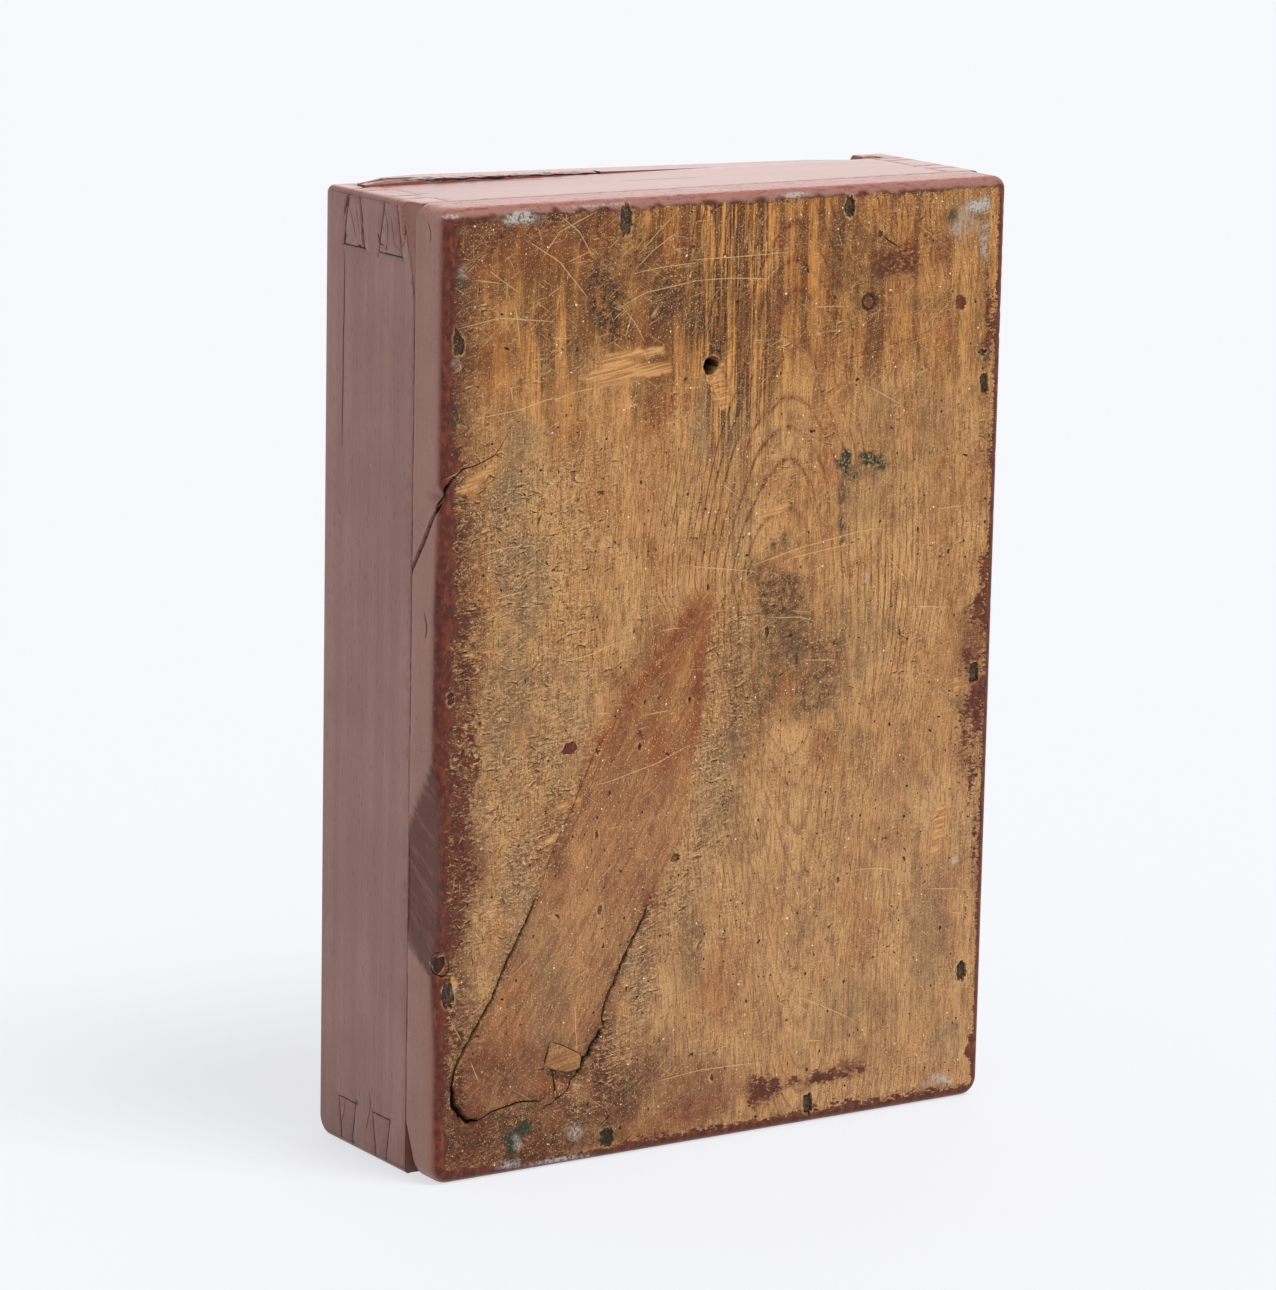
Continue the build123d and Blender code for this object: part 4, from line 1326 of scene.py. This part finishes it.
def make_frame_boards(materials):
    """Worn copies of the four frame boards, each in the place of its node."""
    side_lines = [([on_left_side(pixel) for pixel in line], *rest) for line, *rest in left_side_marks]
    top_lines = [([on_top(pixel) for pixel in line], *rest) for line, *rest in top_marks]
    # Each outer face: its name, its axis, where it lies and how deeply its edges are worn
    faces = (("X-", 0, -half_width, 0.45), ("X+", 0, half_width, 0.3), ("Z-", 2, 0.0, 0.3),
             ("Z+", 2, board_length, 0.4), ("Y+", 1, box_back, 0.3))
    for number, (node, material) in enumerate(materials.items()):
        board = WornBoard(node)
        for place, (face, axis, value, wear) in enumerate(faces):
            lines = ()
            if face == "X-":
                lines = side_lines
            if face == "Z+" and node == "end_entry":
                lines = top_lines
            board.renew_face(axis, value, lines, wear, 400 + 10 * number + place)
        made = board.make(f"{node}_worn", material)
        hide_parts(node)
        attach(made, "box")


# The gap under the torn fibres at the lid's outer end, which gets painted shadow, and the part of the lid
# that gets small triangles
lid_gap = np.array([
    (361, 181.5), (379, 179.4), (400, 178.5), (421, 178.8), (439, 179.4), (457, 178.5), (481, 177),
    (499, 177.6), (517, 175.2), (550, 174.6), (574, 173.4), (595, 172.5), (616, 171.3), (640, 170.1)])
lid_torn_zone = {"right": -16.0, "low": board_length - 2.5, "back": groove_front + 6.5}


def in_torn_zone(places):
    """Whether each place lies in the torn part of the lid's end."""
    x, y, z = places.T
    return (x < lid_torn_zone["right"]) & (y < lid_torn_zone["back"]) & (z > lid_torn_zone["low"])


def split_edges(points, faces, edges):
    """Cut every triangle across the named edges, each at its middle."""
    middles = {edge: len(points) + k for k, edge in enumerate(edges)}
    points = np.concatenate([points, [(points[a] + points[b]) / 2 for a, b in edges]])
    cut_faces = []
    for face in faces:
        cuts = [middles.get(tuple(sorted((face[k], face[(k + 1) % 3])))) for k in range(3)]
        count = sum(cut is not None for cut in cuts)
        if count == 0:
            cut_faces.append(face)
            continue
        turn = 0
        while count < 3 and (cuts[turn] is None or (count == 2 and cuts[turn - 1] is not None)):
            turn += 1
        a, b, c = face[turn:] + face[:turn]
        ab, bc, ca = cuts[turn:] + cuts[:turn]
        if count == 1:
            cut_faces += [[a, ab, c], [ab, b, c]]
        elif count == 2:
            cut_faces += [[ab, b, bc], [a, ab, bc], [a, bc, c]]
        else:
            cut_faces += [[a, ab, ca], [ab, b, bc], [ca, bc, c], [ab, bc, ca]]
    return points, cut_faces


def small_triangles(points, faces):
    """The lid's mesh with its torn zone cut into small triangles, finest along the gap."""
    finest_edge = 0.5
    longest_edge = 1.3
    gap_reach_in_pixels = 3.5
    faces = [[face[0], face[k], face[k + 1]] for face in faces for k in range(1, len(face) - 1)]
    longest = 200.0
    while longest > 0.3:
        edges = sorted({tuple(sorted((face[k - 1], face[k]))) for face in faces for k in range(3)})
        start, end = points[np.array(edges)].transpose(1, 0, 2)
        length = np.linalg.norm(end - start, axis=1)
        touching = np.zeros(len(edges), bool)
        for share in np.linspace(0, 1, 9):
            touching |= in_torn_zone(start + (end - start) * share)
        distance, _ = line_distance(pixels_of((start + end) / 2), lid_gap)
        wanted = np.where(distance < gap_reach_in_pixels, finest_edge, longest_edge)
        limit = np.maximum(wanted, longest)
        too_long = [edges[k] for k in np.flatnonzero(touching & (length > limit))]
        points, faces = split_edges(points, faces, too_long)
        longest /= 2
    return points, faces


def lid_marks(places):
    """How black, how pale and how raw each place near the lid's torn end is; the black is painted shadow in
    the gap under the torn fibres.
    """
    seen = pixels_of(places)
    distance, along = line_distance(seen, lid_gap)
    above = np.interp(seen[:, 0], lid_gap[:, 0], lid_gap[:, 1]) - seen[:, 1]
    flat = places[:, [0, 1]]
    width = (2.9 - 1.5 * along) * (0.75 + 0.4 * ripple(flat, 4, 501))
    fading = 1 - smooth(places[:, 1], lid_torn_zone["back"] - 1.5, lid_torn_zone["back"])
    in_view = smooth(seen[:, 0], 359, 362) * (1 - smooth(seen[:, 0], 630, 642))
    within = in_view * fading * in_torn_zone(places)
    # Painted shadow in the gap under the torn fibres.
    black = (1.4 - 1.4 * distance / width.clip(0.5)).clip(0, 1) * within
    mottled = (0.6 + 0.4 * ripple(flat, 2, 502)).clip(0, 1)
    pale = smooth(above, 0.4, 1.2) * (1 - smooth(above, 4.0, 7.0)) * within * mottled
    tip = (1 - smooth(seen[:, 0], 364, 385)) * (1 - smooth(distance, 2, 5)) * within
    flecks = smooth(ripple(flat * (0.6, 1), 1.5, 503), 0.5, 1.2) * (1 - smooth(distance, 2, 6)) * within
    under = 0.6 * smooth(-above, 0.3, 1.2) * (1 - smooth(-above, 3, 6)) * (1 - along) * within
    return black, pale, np.maximum.reduce([tip, 0.8 * flecks, under])


def make_lid(material):
    """The lid, with torn fibres along the inner arris of its outer end and painted shadow in the gap under
    them.
    """
    places, faces = small_triangles(*node_mesh("lid"))
    black, pale, raw = lid_marks(places)
    bumps = (0.5 + 0.5 * ripple(places[:, [0, 1]] * (0.5, 1), 0.9, 504)).clip(0)
    sunk = 0.8 * black + 0.3 * bumps * np.maximum(pale, raw)
    lid = new_object("lid_worn", places + sunk[:, None] * (0, 0.7, -0.7), faces, material, 30)
    add_fields(lid.data, {"scratch": raw, "black": black, "pale": pale})
    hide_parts("lid")
    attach(lid, "lid")


# Materials

def srgb(red, green, blue):
    """A colour written as it looks on a screen, 0 to 255, made linear."""
    def linear(value):
        share = value / 255
        return share / 12.92 if share <= 0.04045 else ((share + 0.055) / 1.055) ** 2.4
    return (linear(red), linear(green), linear(blue), 1.0)


class NodeTree:
    """Builds the nodes of a material or of the world."""

    def __init__(self, owner):
        owner.use_nodes = True
        self.tree = owner.node_tree
        self.tree.nodes.clear()

    def join(self, source, target):
        """Set an input to a value, or link it to an output."""
        if isinstance(source, (int, float, tuple)):
            target.default_value = source
        else:
            self.tree.links.new(source, target)

    def node(self, kind, inputs=None, **settings):
        """A new node with its settings, and with its inputs set or linked."""
        made = self.tree.nodes.new(kind)
        for name, value in settings.items():
            setattr(made, name, value)
        for name, source in (inputs or {}).items():
            self.join(source, made.inputs[name])
        return made

    def math(self, operation, *values):
        return self.node("ShaderNodeMath", dict(enumerate(values)), operation=operation).outputs[0]

    def vector(self, operation, *values):
        return self.node("ShaderNodeVectorMath", dict(enumerate(values)), operation=operation).outputs[0]

    def fold(self, operation, values):
        """One value made of several, two at a time from the left."""
        total = values[0]
        for value in values[1:]:
            total = self.math(operation, total, value)
        return total

    def times(self, *values):
        return self.fold("MULTIPLY", values)

    def plus(self, *values):
        return self.fold("ADD", values)

    def most(self, *values):
        return self.fold("MAXIMUM", values)

    def seen(self):
        """1 for rays from the camera, and for those that reflections and glass send on."""
        path = self.node("ShaderNodeLightPath").outputs
        return self.most(path["Is Camera Ray"], path["Is Glossy Ray"], path["Is Transmission Ray"])

    def mixed_shader(self, share, first, second):
        inputs = {0: share, 1: first.outputs[0], 2: second.outputs[0]}
        return self.node("ShaderNodeMixShader", inputs).outputs[0]


class Finish(NodeTree):
    """Builds one material."""

    def __init__(self, name, **inputs):
        self.material = bpy.data.materials.new(name)
        super().__init__(self.material)
        named = {key.replace("_", " "): value for key, value in inputs.items()}
        self.shader = self.node("ShaderNodeBsdfPrincipled", {"IOR": 1.5, **named})
        self.output = self.node("ShaderNodeOutputMaterial", {"Surface": self.shader.outputs["BSDF"]})
        self.place = self.node("ShaderNodeTexCoord").outputs["Object"]

    def field(self, name):
        """The numbers stored on the mesh under a name."""
        return self.node("ShaderNodeAttribute", attribute_name=name).outputs["Fac"]

    def axis(self, name):
        return self.node("ShaderNodeSeparateXYZ", {0: self.place}).outputs[name]

    def turned(self, about_y, about_x=0, about_z=0):
        """Places turned by some degrees. About Y alone, their X runs up to the right on the face."""
        rotation = (radians(about_x), radians(about_y), radians(about_z))
        return self.node("ShaderNodeMapping", {"Vector": self.place, "Rotation": rotation}).outputs["Vector"]

    def noise(self, size, stretch=(1, 1, 1), detail=3.0, rough=0.5, shift=0.0, place=None):
        """Noise whose features are about size millimetres; a stretch under 1 lengthens them on that axis."""
        scale = tuple(share / (size * MM) for share in stretch)
        scaled = self.vector("MULTIPLY_ADD", place or self.place, scale, (shift, shift * 1.7, shift * 0.6))
        inputs = {"Vector": scaled, "Scale": 1.0, "Detail": detail, "Roughness": rough}
        return self.node("ShaderNodeTexNoise", inputs).outputs["Fac"]

    def level(self, value, low, high, bottom=0.0, top=1.0):
        """A soft step from bottom at low to top at high."""
        inputs = {"Value": value, "From Min": low, "From Max": high, "To Min": bottom, "To Max": top}
        return self.node("ShaderNodeMapRange", inputs, interpolation_type="SMOOTHSTEP").outputs["Result"]

    def mix(self, share, under, over, blend="MIX"):
        """One colour over another by a share; MULTIPLY darkens the lower one by a see-through tint."""
        inputs = {"Factor": share, "A": under, "B": over}
        return self.node("ShaderNodeMix", inputs, data_type="RGBA", blend_type=blend).outputs["Result"]

    def layers(self, colour, *covers):
        """A colour with others laid over it in turn, each as its share and its colour."""
        for share, cover in covers:
            colour = self.mix(share, colour, cover)
        return colour

    def hairlines(self, degrees, shift, low, high):
        """Sparse hair-thin straight lines that run one way."""
        lines = self.noise(0.3, (0.02, 1, 1), detail=1.0, shift=shift, place=self.turned(degrees))
        return self.level(lines, low, high)

    def in_box(self, low, high):
        """1 inside a box given in millimetres and 0 outside."""
        middle = tuple((a + b) / 2 * MM for a, b in zip(low, high))
        half = tuple((b - a) / 2 * MM for a, b in zip(low, high))
        away = self.vector("ABSOLUTE", self.vector("SUBTRACT", self.place, middle))
        x, y, z = self.node("ShaderNodeSeparateXYZ", {0: self.vector("SUBTRACT", away, half)}).outputs
        return self.math("LESS_THAN", self.most(x, self.most(y, z)), 0.0)

    def bump(self, height, millimetres):
        """The shading of small relief that is too fine for the mesh."""
        inputs = {"Strength": 1.0, "Distance": millimetres * MM, "Height": height}
        return self.node("ShaderNodeBump", inputs).outputs["Normal"]

    def finish(self, colour, roughness=None, normal=None):
        """The material, once its colour and what else it has are joined to the shader."""
        for name, source in (("Base Color", colour), ("Roughness", roughness), ("Normal", normal)):
            if source is not None:
                self.join(source, self.shader.inputs[name])
        return self.material


paint_mauve = srgb(150, 103, 92)
paint_mauve_light = srgb(164, 117, 105)
paint_mauve_dark = srgb(127, 83, 73)
paint_red = srgb(118, 56, 38)
paint_dark = srgb(84, 40, 28)
pine_tan = srgb(194, 137, 80)
pine_light = srgb(215, 162, 102)
pine_brown = srgb(128, 80, 44)
pine_latewood = srgb(116, 56, 24)
pine_fresh = srgb(222, 166, 104)
dirt_brown = srgb(56, 32, 17)
weather_grey = srgb(120, 98, 72)
resin_red = srgb(142, 66, 24)
# Near black for dark cracks, and for painted shade in joint seams, gaps and the worn hole.
crack_and_shade_black = srgb(16, 11, 9)
along_z = (1, 1, 0.03)
along_x = (0.03, 1, 1)


def brushed_paint(f, grain):
    """The colour of the paint on the sides, brushed along the grain, and its brush marks as a height."""
    cloud = f.noise(40, detail=2.0)
    brush = f.noise(1.6, grain, detail=4.0, rough=0.6)
    wide_brush = f.noise(7, grain, detail=2.0, shift=3.0)
    colour = f.layers(
        paint_mauve,
        (f.level(cloud, 0.35, 0.65), srgb(139, 91, 80)),
        (f.level(brush, 0.5, 0.75, 0, 0.5), paint_mauve_light),
        (f.level(wide_brush, 0.35, 0.6, 0.45, 0), paint_mauve_dark))
    return colour, f.plus(f.times(brush, 0.6), wide_brush)


def pine_grain(f):
    """The bare pine itself: tone, streaks and growth rings, with its streaks as a height."""
    knot = f.field("knot")
    rib_place = f.field("rib")
    near_top = f.field("top")
    along_knot = {"stretch": (0.05, 1, 1), "detail": 4.0, "rough": 0.65, "place": f.turned(58)}
    cloud = f.noise(26)
    mottle = f.noise(5, (1, 1, 0.4), detail=4.0, rough=0.65, shift=5.0)
    streak = f.noise(1.5, (1, 1, 0.05), detail=4.0, rough=0.65)
    knot_streak = f.noise(1.5, **along_knot)
    streak = f.plus(f.times(streak, f.math("SUBTRACT", 1.0, knot)), f.times(knot_streak, knot))
    fibre = f.noise(0.5, (1, 1, 0.1), rough=0.65, shift=9.0)
    coarse = f.plus(0.55, f.times(f.field("rough"), 0.4))
    knot_line = f.noise(1.5, shift=63.0, **along_knot)
    rib = f.noise(0.9, (1, 1, 0.03), rough=0.6, shift=73.0)
    band = f.noise(7, (1, 1, 0.07), shift=75.0)

    ring_bend = f.times(f.noise(9, (1, 1, 0.4), shift=2.0), 0.5)
    phase = f.plus(f.field("ring"), ring_bend, f.times(mottle, 0.12))
    wave = f.math("COSINE", f.times(phase, tau))
    ring_line = f.math("POWER", f.plus(f.times(wave, 0.5), 0.5), 11.0)
    broken = f.level(f.noise(4, (1, 1, 0.3), shift=12.0), 0.3, 0.6, 0.2, 1)
    ring_share = f.math("MINIMUM", f.times(ring_line, f.field("ring_show"), broken, 0.95), 1.0)

    colour = f.layers(
        pine_tan,
        (f.level(cloud, 0.35, 0.65), pine_light),
        (f.level(mottle, 0.45, 0.7, 0, 0.65), pine_brown),
        (f.level(streak, 0.47, 0.68, 0, 0.6), pine_brown),
        (f.level(streak, 0.46, 0.3, 0, 0.5), srgb(214, 168, 108)),
        (f.times(f.level(fibre, 0.5, 0.64), coarse), srgb(98, 60, 34)),
        (f.times(f.level(fibre, 0.46, 0.34), coarse), srgb(220, 170, 110)),
        (ring_share, pine_latewood),
        (f.times(knot, f.level(knot_line, 0.49, 0.62, 0, 0.5)), srgb(112, 62, 34)),
        (f.times(knot, f.level(knot_line, 0.45, 0.35, 0, 0.3)), srgb(206, 152, 102)),
        (f.times(rib_place, f.level(rib, 0.47, 0.56)), srgb(78, 44, 22)),
        (f.times(rib_place, f.level(rib, 0.46, 0.38, 0, 0.85)), srgb(222, 160, 90)),
        (f.times(near_top, f.level(band, 0.48, 0.58, 0, 0.75)), srgb(92, 52, 26)),
        (f.times(near_top, f.level(band, 0.46, 0.38, 0, 0.25)), srgb(226, 172, 106)))
    colour = f.mix(near_top, colour, (1.0, 0.85, 0.62, 1.0), "MULTIPLY")
    colour = f.mix(knot, colour, (0.84, 0.74, 0.65, 1.0), "MULTIPLY")
    return colour, mottle, f.plus(f.times(fibre, 0.2), f.times(streak, 0.25), f.times(ring_share, -0.25))


def worn_paint(f):
    """The paint of the bottom board: its old red edge on the face, and the brushed paint round the sides."""
    darkened = f.noise(4, detail=4.0, rough=0.7, shift=25.0)
    rubbed = f.noise(2.6, (1, 1, 0.35), detail=4.0, rough=0.7, shift=71.0)
    old_paint = f.layers(
        paint_red,
        (f.level(darkened, 0.35, 0.6), paint_dark),
        (f.level(rubbed, 0.52, 0.64, 0, 0.6), srgb(138, 78, 48)))
    outer_paint, brush = brushed_paint(f, along_z)
    tick = f.noise(2.0, (0.35, 1, 1), rough=0.65, shift=27.0)
    at_top = f.level(f.axis("Z"), (board_length - 3.0) * MM, (board_length - 0.5) * MM)
    tool_marks = f.noise(1.6, (1, 0.12, 0.12), detail=2.0, shift=61.0, place=f.turned(0, 50, 90))
    planed = f.mix(f.level(tool_marks, 0.52, 0.66), srgb(88, 48, 40), srgb(114, 70, 60))
    outer_paint = f.layers(
        outer_paint,
        (0.5, srgb(174, 132, 118)),
        (f.times(at_top, 0.75), srgb(172, 102, 88)),
        (f.times(at_top, f.level(tick, 0.52, 0.62, 0, 0.7)), srgb(122, 52, 40)),
        (f.times(f.field("facet"), 0.85), planed))
    return f.mix(f.field("side"), old_paint, outer_paint), brush


def bare_pine():
    """Old pine of the bottom board: rings, torn fibres, stains, scratches and worn paint at the edges, with
    painted glints, highlights and shade.
    """
    f = Finish("bare_pine", Roughness=0.5, Specular_IOR_Level=0.22)
    rough = f.field("rough")
    colour, mottle, grain_height = pine_grain(f)
    blotch = f.noise(2.4, detail=4.0, rough=0.7, shift=21.0)
    torn_place = f.turned(10)
    torn = f.noise(0.85, (0.28, 1, 1), rough=0.65, place=torn_place)
    torn_fine = f.noise(0.5, (0.4, 1, 1), detail=2.0, shift=4.0, place=torn_place)
    crossed = f.noise(0.8, (0.35, 1, 1), rough=0.65, shift=81.0, place=f.turned(-32))
    torn_light = f.most(f.level(torn, 0.55, 0.63), f.level(crossed, 0.58, 0.65))
    torn_dark = f.most(f.level(torn, 0.46, 0.37), f.level(crossed, 0.42, 0.35))
    grit = f.noise(0.75, detail=2.0, shift=31.0)
    speck = f.level(f.noise(2.0, detail=0.0, shift=35.0), 0.8, 0.84)
    # Painted glints: small near-white dots painted into the colour as highlights.
    painted_glint = f.level(f.noise(1.7, detail=0.0, shift=36.0), 0.81, 0.84)
    hair = f.most(f.hairlines(40, 51.0, 0.66, 0.74), f.hairlines(-33, 52.0, 0.67, 0.75),
                  f.hairlines(14, 53.0, 0.66, 0.74), f.hairlines(84, 54.0, 0.67, 0.75))
    hair = f.times(hair, f.level(f.noise(22, shift=55.0), 0.4, 0.6, 0.25, 0.8))
    flecked = f.noise(0.9, (0.45, 1, 1), detail=4.0, rough=0.7, shift=14.0)
    ragged = f.plus(f.times(flecked, 2.4), f.times(f.noise(4.5, shift=17.0), 1.0), -1.7)
    paint_share = f.level(f.plus(f.field("paint"), ragged), 0.46, 0.62)
    paint, brush = worn_paint(f)
    fresh_noise = f.noise(0.8, (0.06, 1, 1), shift=33.0, place=f.turned(9))
    fresh = f.mix(f.level(fresh_noise, 0.42, 0.56), srgb(182, 122, 70), pine_fresh)
    speckle = f.level(f.noise(1.4, detail=4.0, rough=0.7, shift=37.0), 0.4, 0.52)

    colour = f.layers(
        colour,
        (f.times(f.field("brown"), f.level(mottle, 0.3, 0.6, 0.35, 0.9)), srgb(132, 70, 32)),
        (f.times(f.level(f.axis("Z"), 260 * MM, 90 * MM), 0.12), srgb(176, 150, 134)),
        (f.times(f.field("grey"), f.level(mottle, 0.3, 0.6, 0.45, 0.95)), weather_grey),
        (f.times(f.field("warm"), f.level(blotch, 0.3, 0.6, 0.5, 0.9)), resin_red),
        (f.times(f.field("umber"), f.level(mottle, 0.35, 0.6, 0.5, 0.95)), srgb(118, 64, 44)),
        (f.times(f.field("dark"), f.level(blotch, 0.36, 0.6, 0.25, 1.05)), dirt_brown),
        (f.times(torn_light, rough, 0.85), srgb(222, 178, 126)),
        (f.times(torn_dark, rough, 0.65), srgb(80, 48, 30)),
        (f.level(grit, 0.62, 0.69, 0, 0.9), srgb(236, 194, 138)),
        (f.level(grit, 0.37, 0.3, 0, 0.85), srgb(54, 34, 23)),
        (speck, srgb(36, 24, 18)),
        # painted highlights as small glints
        (painted_glint, srgb(250, 226, 190)),
        (hair, srgb(226, 182, 122)),
        (f.times(f.field("tint"), f.level(flecked, 0.36, 0.56), 0.75), srgb(98, 42, 28)),
        (paint_share, paint),
        (f.times(f.field("fresh"), f.level(fresh_noise, 0.3, 0.46, 0.6, 1)), fresh),
        (f.times(f.field("scratch"), 0.85), srgb(232, 190, 134)),
        (f.math("MINIMUM", f.times(f.field("green"), speckle, 1.2), 1.0), srgb(42, 54, 40)),
        # White scuffs and flecks, and painted highlights along the top arris.
        (f.math("MINIMUM", f.times(f.field("white"), speckle), 1.0), srgb(200, 200, 194)),
        # Black: dark cracks and holes, and painted shade under lifted fibres, in the worn hole and at the
        # rear edge's joint.
        (f.field("black"), crack_and_shade_black))
    blotch_height = f.times(f.level(blotch, 0.38, 0.6), 0.1)
    height = f.plus(grain_height, f.times(torn, rough, 0.7), f.times(torn_fine, rough, 0.35),
                    f.times(grit, 0.25), blotch_height, f.times(paint_share, 0.3), f.times(hair, -0.3),
                    f.times(brush, f.field("side"), 0.15))
    return f.finish(colour, f.level(paint_share, 0, 1, 0.5, 0.38), f.bump(height, 0.55))


def painted_pine(name, grain, *bare_boxes):
    """Brushed oil paint on a frame board, with bare old pine inside the box."""
    f = Finish(name, Roughness=0.38)
    painted, brush = brushed_paint(f, grain)
    pores = f.noise(0.6, tuple(0.15 if axis < 1 else 1 for axis in grain), detail=2.0, shift=45.0)
    chip = f.noise(1.3, (1, 1, 0.3), shift=41.0)
    streak = f.noise(1.9, grain, detail=4.0, rough=0.6, shift=43.0)
    bare = f.mix(f.level(streak, 0.4, 0.65), srgb(206, 164, 116), srgb(170, 122, 76))
    inside = f.most(*[f.in_box(low, high) for low, high in bare_boxes])
    raw_grain = f.level(f.noise(0.8, (0.3, 1, 1), shift=47.0), 0.4, 0.6)
    raw = f.mix(raw_grain, srgb(206, 136, 78), srgb(140, 72, 40))
    at_top = f.level(f.axis("Z"), (board_length - 1.5) * MM, (board_length - 0.5) * MM)
    broken = f.level(f.noise(3.5, detail=2.0, shift=49.0), 0.36, 0.56, 0.35, 0.95)
    colour = f.layers(
        painted,
        (f.level(pores, 0.6, 0.7, 0, 0.5), paint_dark),
        (f.level(chip, 0.76, 0.79, 0, 0.9), srgb(196, 150, 116)),
        (inside, bare),
        (f.field("scratch"), raw),
        (f.times(f.field("pale"), 0.85), srgb(188, 170, 154)),
        (f.times(at_top, 0.6, f.math("SUBTRACT", 1.0, inside)), srgb(150, 82, 70)),
        # Painted shade along the joint seams between the boards.
        (f.times(f.level(f.field("seam_shade"), 0.4, 1.0), broken), crack_and_shade_black),
        # Black: dark cracks, and on the lid painted shadow in the gap under its torn fibres.
        (f.field("black"), crack_and_shade_black))
    height = f.plus(brush, f.times(pores, -0.3))
    return f.finish(colour, f.level(inside, 0, 1, 0.38, 0.6), f.bump(height, 0.14))


def rusted_iron():
    """Rusted nail heads filled with old grime."""
    f = Finish("rusted_iron", Roughness=0.6, Metallic=0.3)
    scale = f.noise(1.2, detail=4.0, rough=0.7)
    colour = f.mix(f.level(scale, 0.4, 0.62), srgb(36, 29, 24), srgb(104, 76, 54))
    return f.finish(colour, normal=f.bump(scale, 0.7))


# What is left bare: the inside of the box, its grooves and the lid's inner face
slack = 0.05
cavity = ((-inner_half_width - slack, joint_plane - 1, closed_end_inside - slack),
          (inner_half_width + slack, groove_back + slack, entry_end_inside + slack))
grooves_box = ((-groove_floor - slack, groove_front - slack, closed_groove_floor - slack),
               (groove_floor + slack, groove_back + slack, board_length - slack))
lid_under = ((-half_width, groove_front, 0), (half_width, groove_front + 0.35, board_length - 4))

pine_board = make_bottom_board(bare_pine())
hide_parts("bottom_board")
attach(pine_board, "box")

side_finish = painted_pine("painted_sides", along_z, cavity, grooves_box)
end_finish = painted_pine("painted_ends", along_x, cavity, grooves_box)
make_frame_boards({"side_left": side_finish, "side_right": side_finish,
                   "end_entry": end_finish, "end_closed": end_finish})
make_lid(painted_pine("painted_lid", along_z, lid_under))

iron = rusted_iron()
for nail_group in nail_holes:
    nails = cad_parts[nail_group]
    nails.data.materials.clear()
    nails.data.materials.append(iron)

# Stage, light and camera

scene = bpy.context.scene
scene.view_settings.view_transform = "Standard"


def make_floor():
    """A wide pale floor that keeps the box's soft shadow, lightened for the camera alone."""
    f = Finish("pale_floor", Roughness=0.9, Specular_IOR_Level=0.0)
    material = f.finish(srgb(233, 235, 239))
    white = f.node("ShaderNodeEmission", {"Color": srgb(248, 249, 253)})
    f.join(f.mixed_shader(f.times(f.seen(), 0.68), f.shader, white), f.output.inputs["Surface"])
    size = 30000.0
    points = np.array(((-size, -size, 0), (size, -size, 0), (size, size, 0), (-size, size, 0)), float)
    new_object("floor", points, [(0, 1, 2, 3)], material)


def make_world():
    """Plain white surroundings for the camera and for reflections, and softer light for the rest."""
    world = bpy.data.worlds.new("studio")
    scene.world = world
    w = NodeTree(world)
    soft = w.node("ShaderNodeBackground", {"Strength": 0.66})
    white = w.node("ShaderNodeBackground", {"Strength": 1.0})
    w.node("ShaderNodeOutputWorld", {"Surface": w.mixed_shader(w.seen(), soft, white)})


def make_sun(name, azimuth, elevation, strength, spread):
    """A soft far light; azimuth 0 shines on the bottom board's face and positive comes from the right."""
    light = bpy.data.lights.new(name, "SUN")
    light.energy = strength
    light.angle = radians(spread)
    sun = bpy.data.objects.new(name, light)
    sun.rotation_euler = direction(radians(azimuth), radians(elevation)).to_track_quat("Z", "Y").to_euler()
    scene.collection.objects.link(sun)


def make_camera():
    """The camera at the photograph's place, with the photograph's framing."""
    data = bpy.data.cameras.new("camera")
    sensor = 36.0
    data.sensor_width = sensor
    data.lens = focal_pixels * sensor / photo_height
    data.clip_end = 100.0
    camera = bpy.data.objects.new("camera", data)
    camera.matrix_world = Matrix.Translation(camera_place * MM) @ camera_turn.to_4x4()
    scene.collection.objects.link(camera)
    scene.camera = camera


make_floor()
make_world()
make_sun("key", azimuth=25, elevation=62, strength=1.9, spread=26)
make_sun("back", azimuth=147, elevation=17, strength=0.67, spread=45)
make_camera()
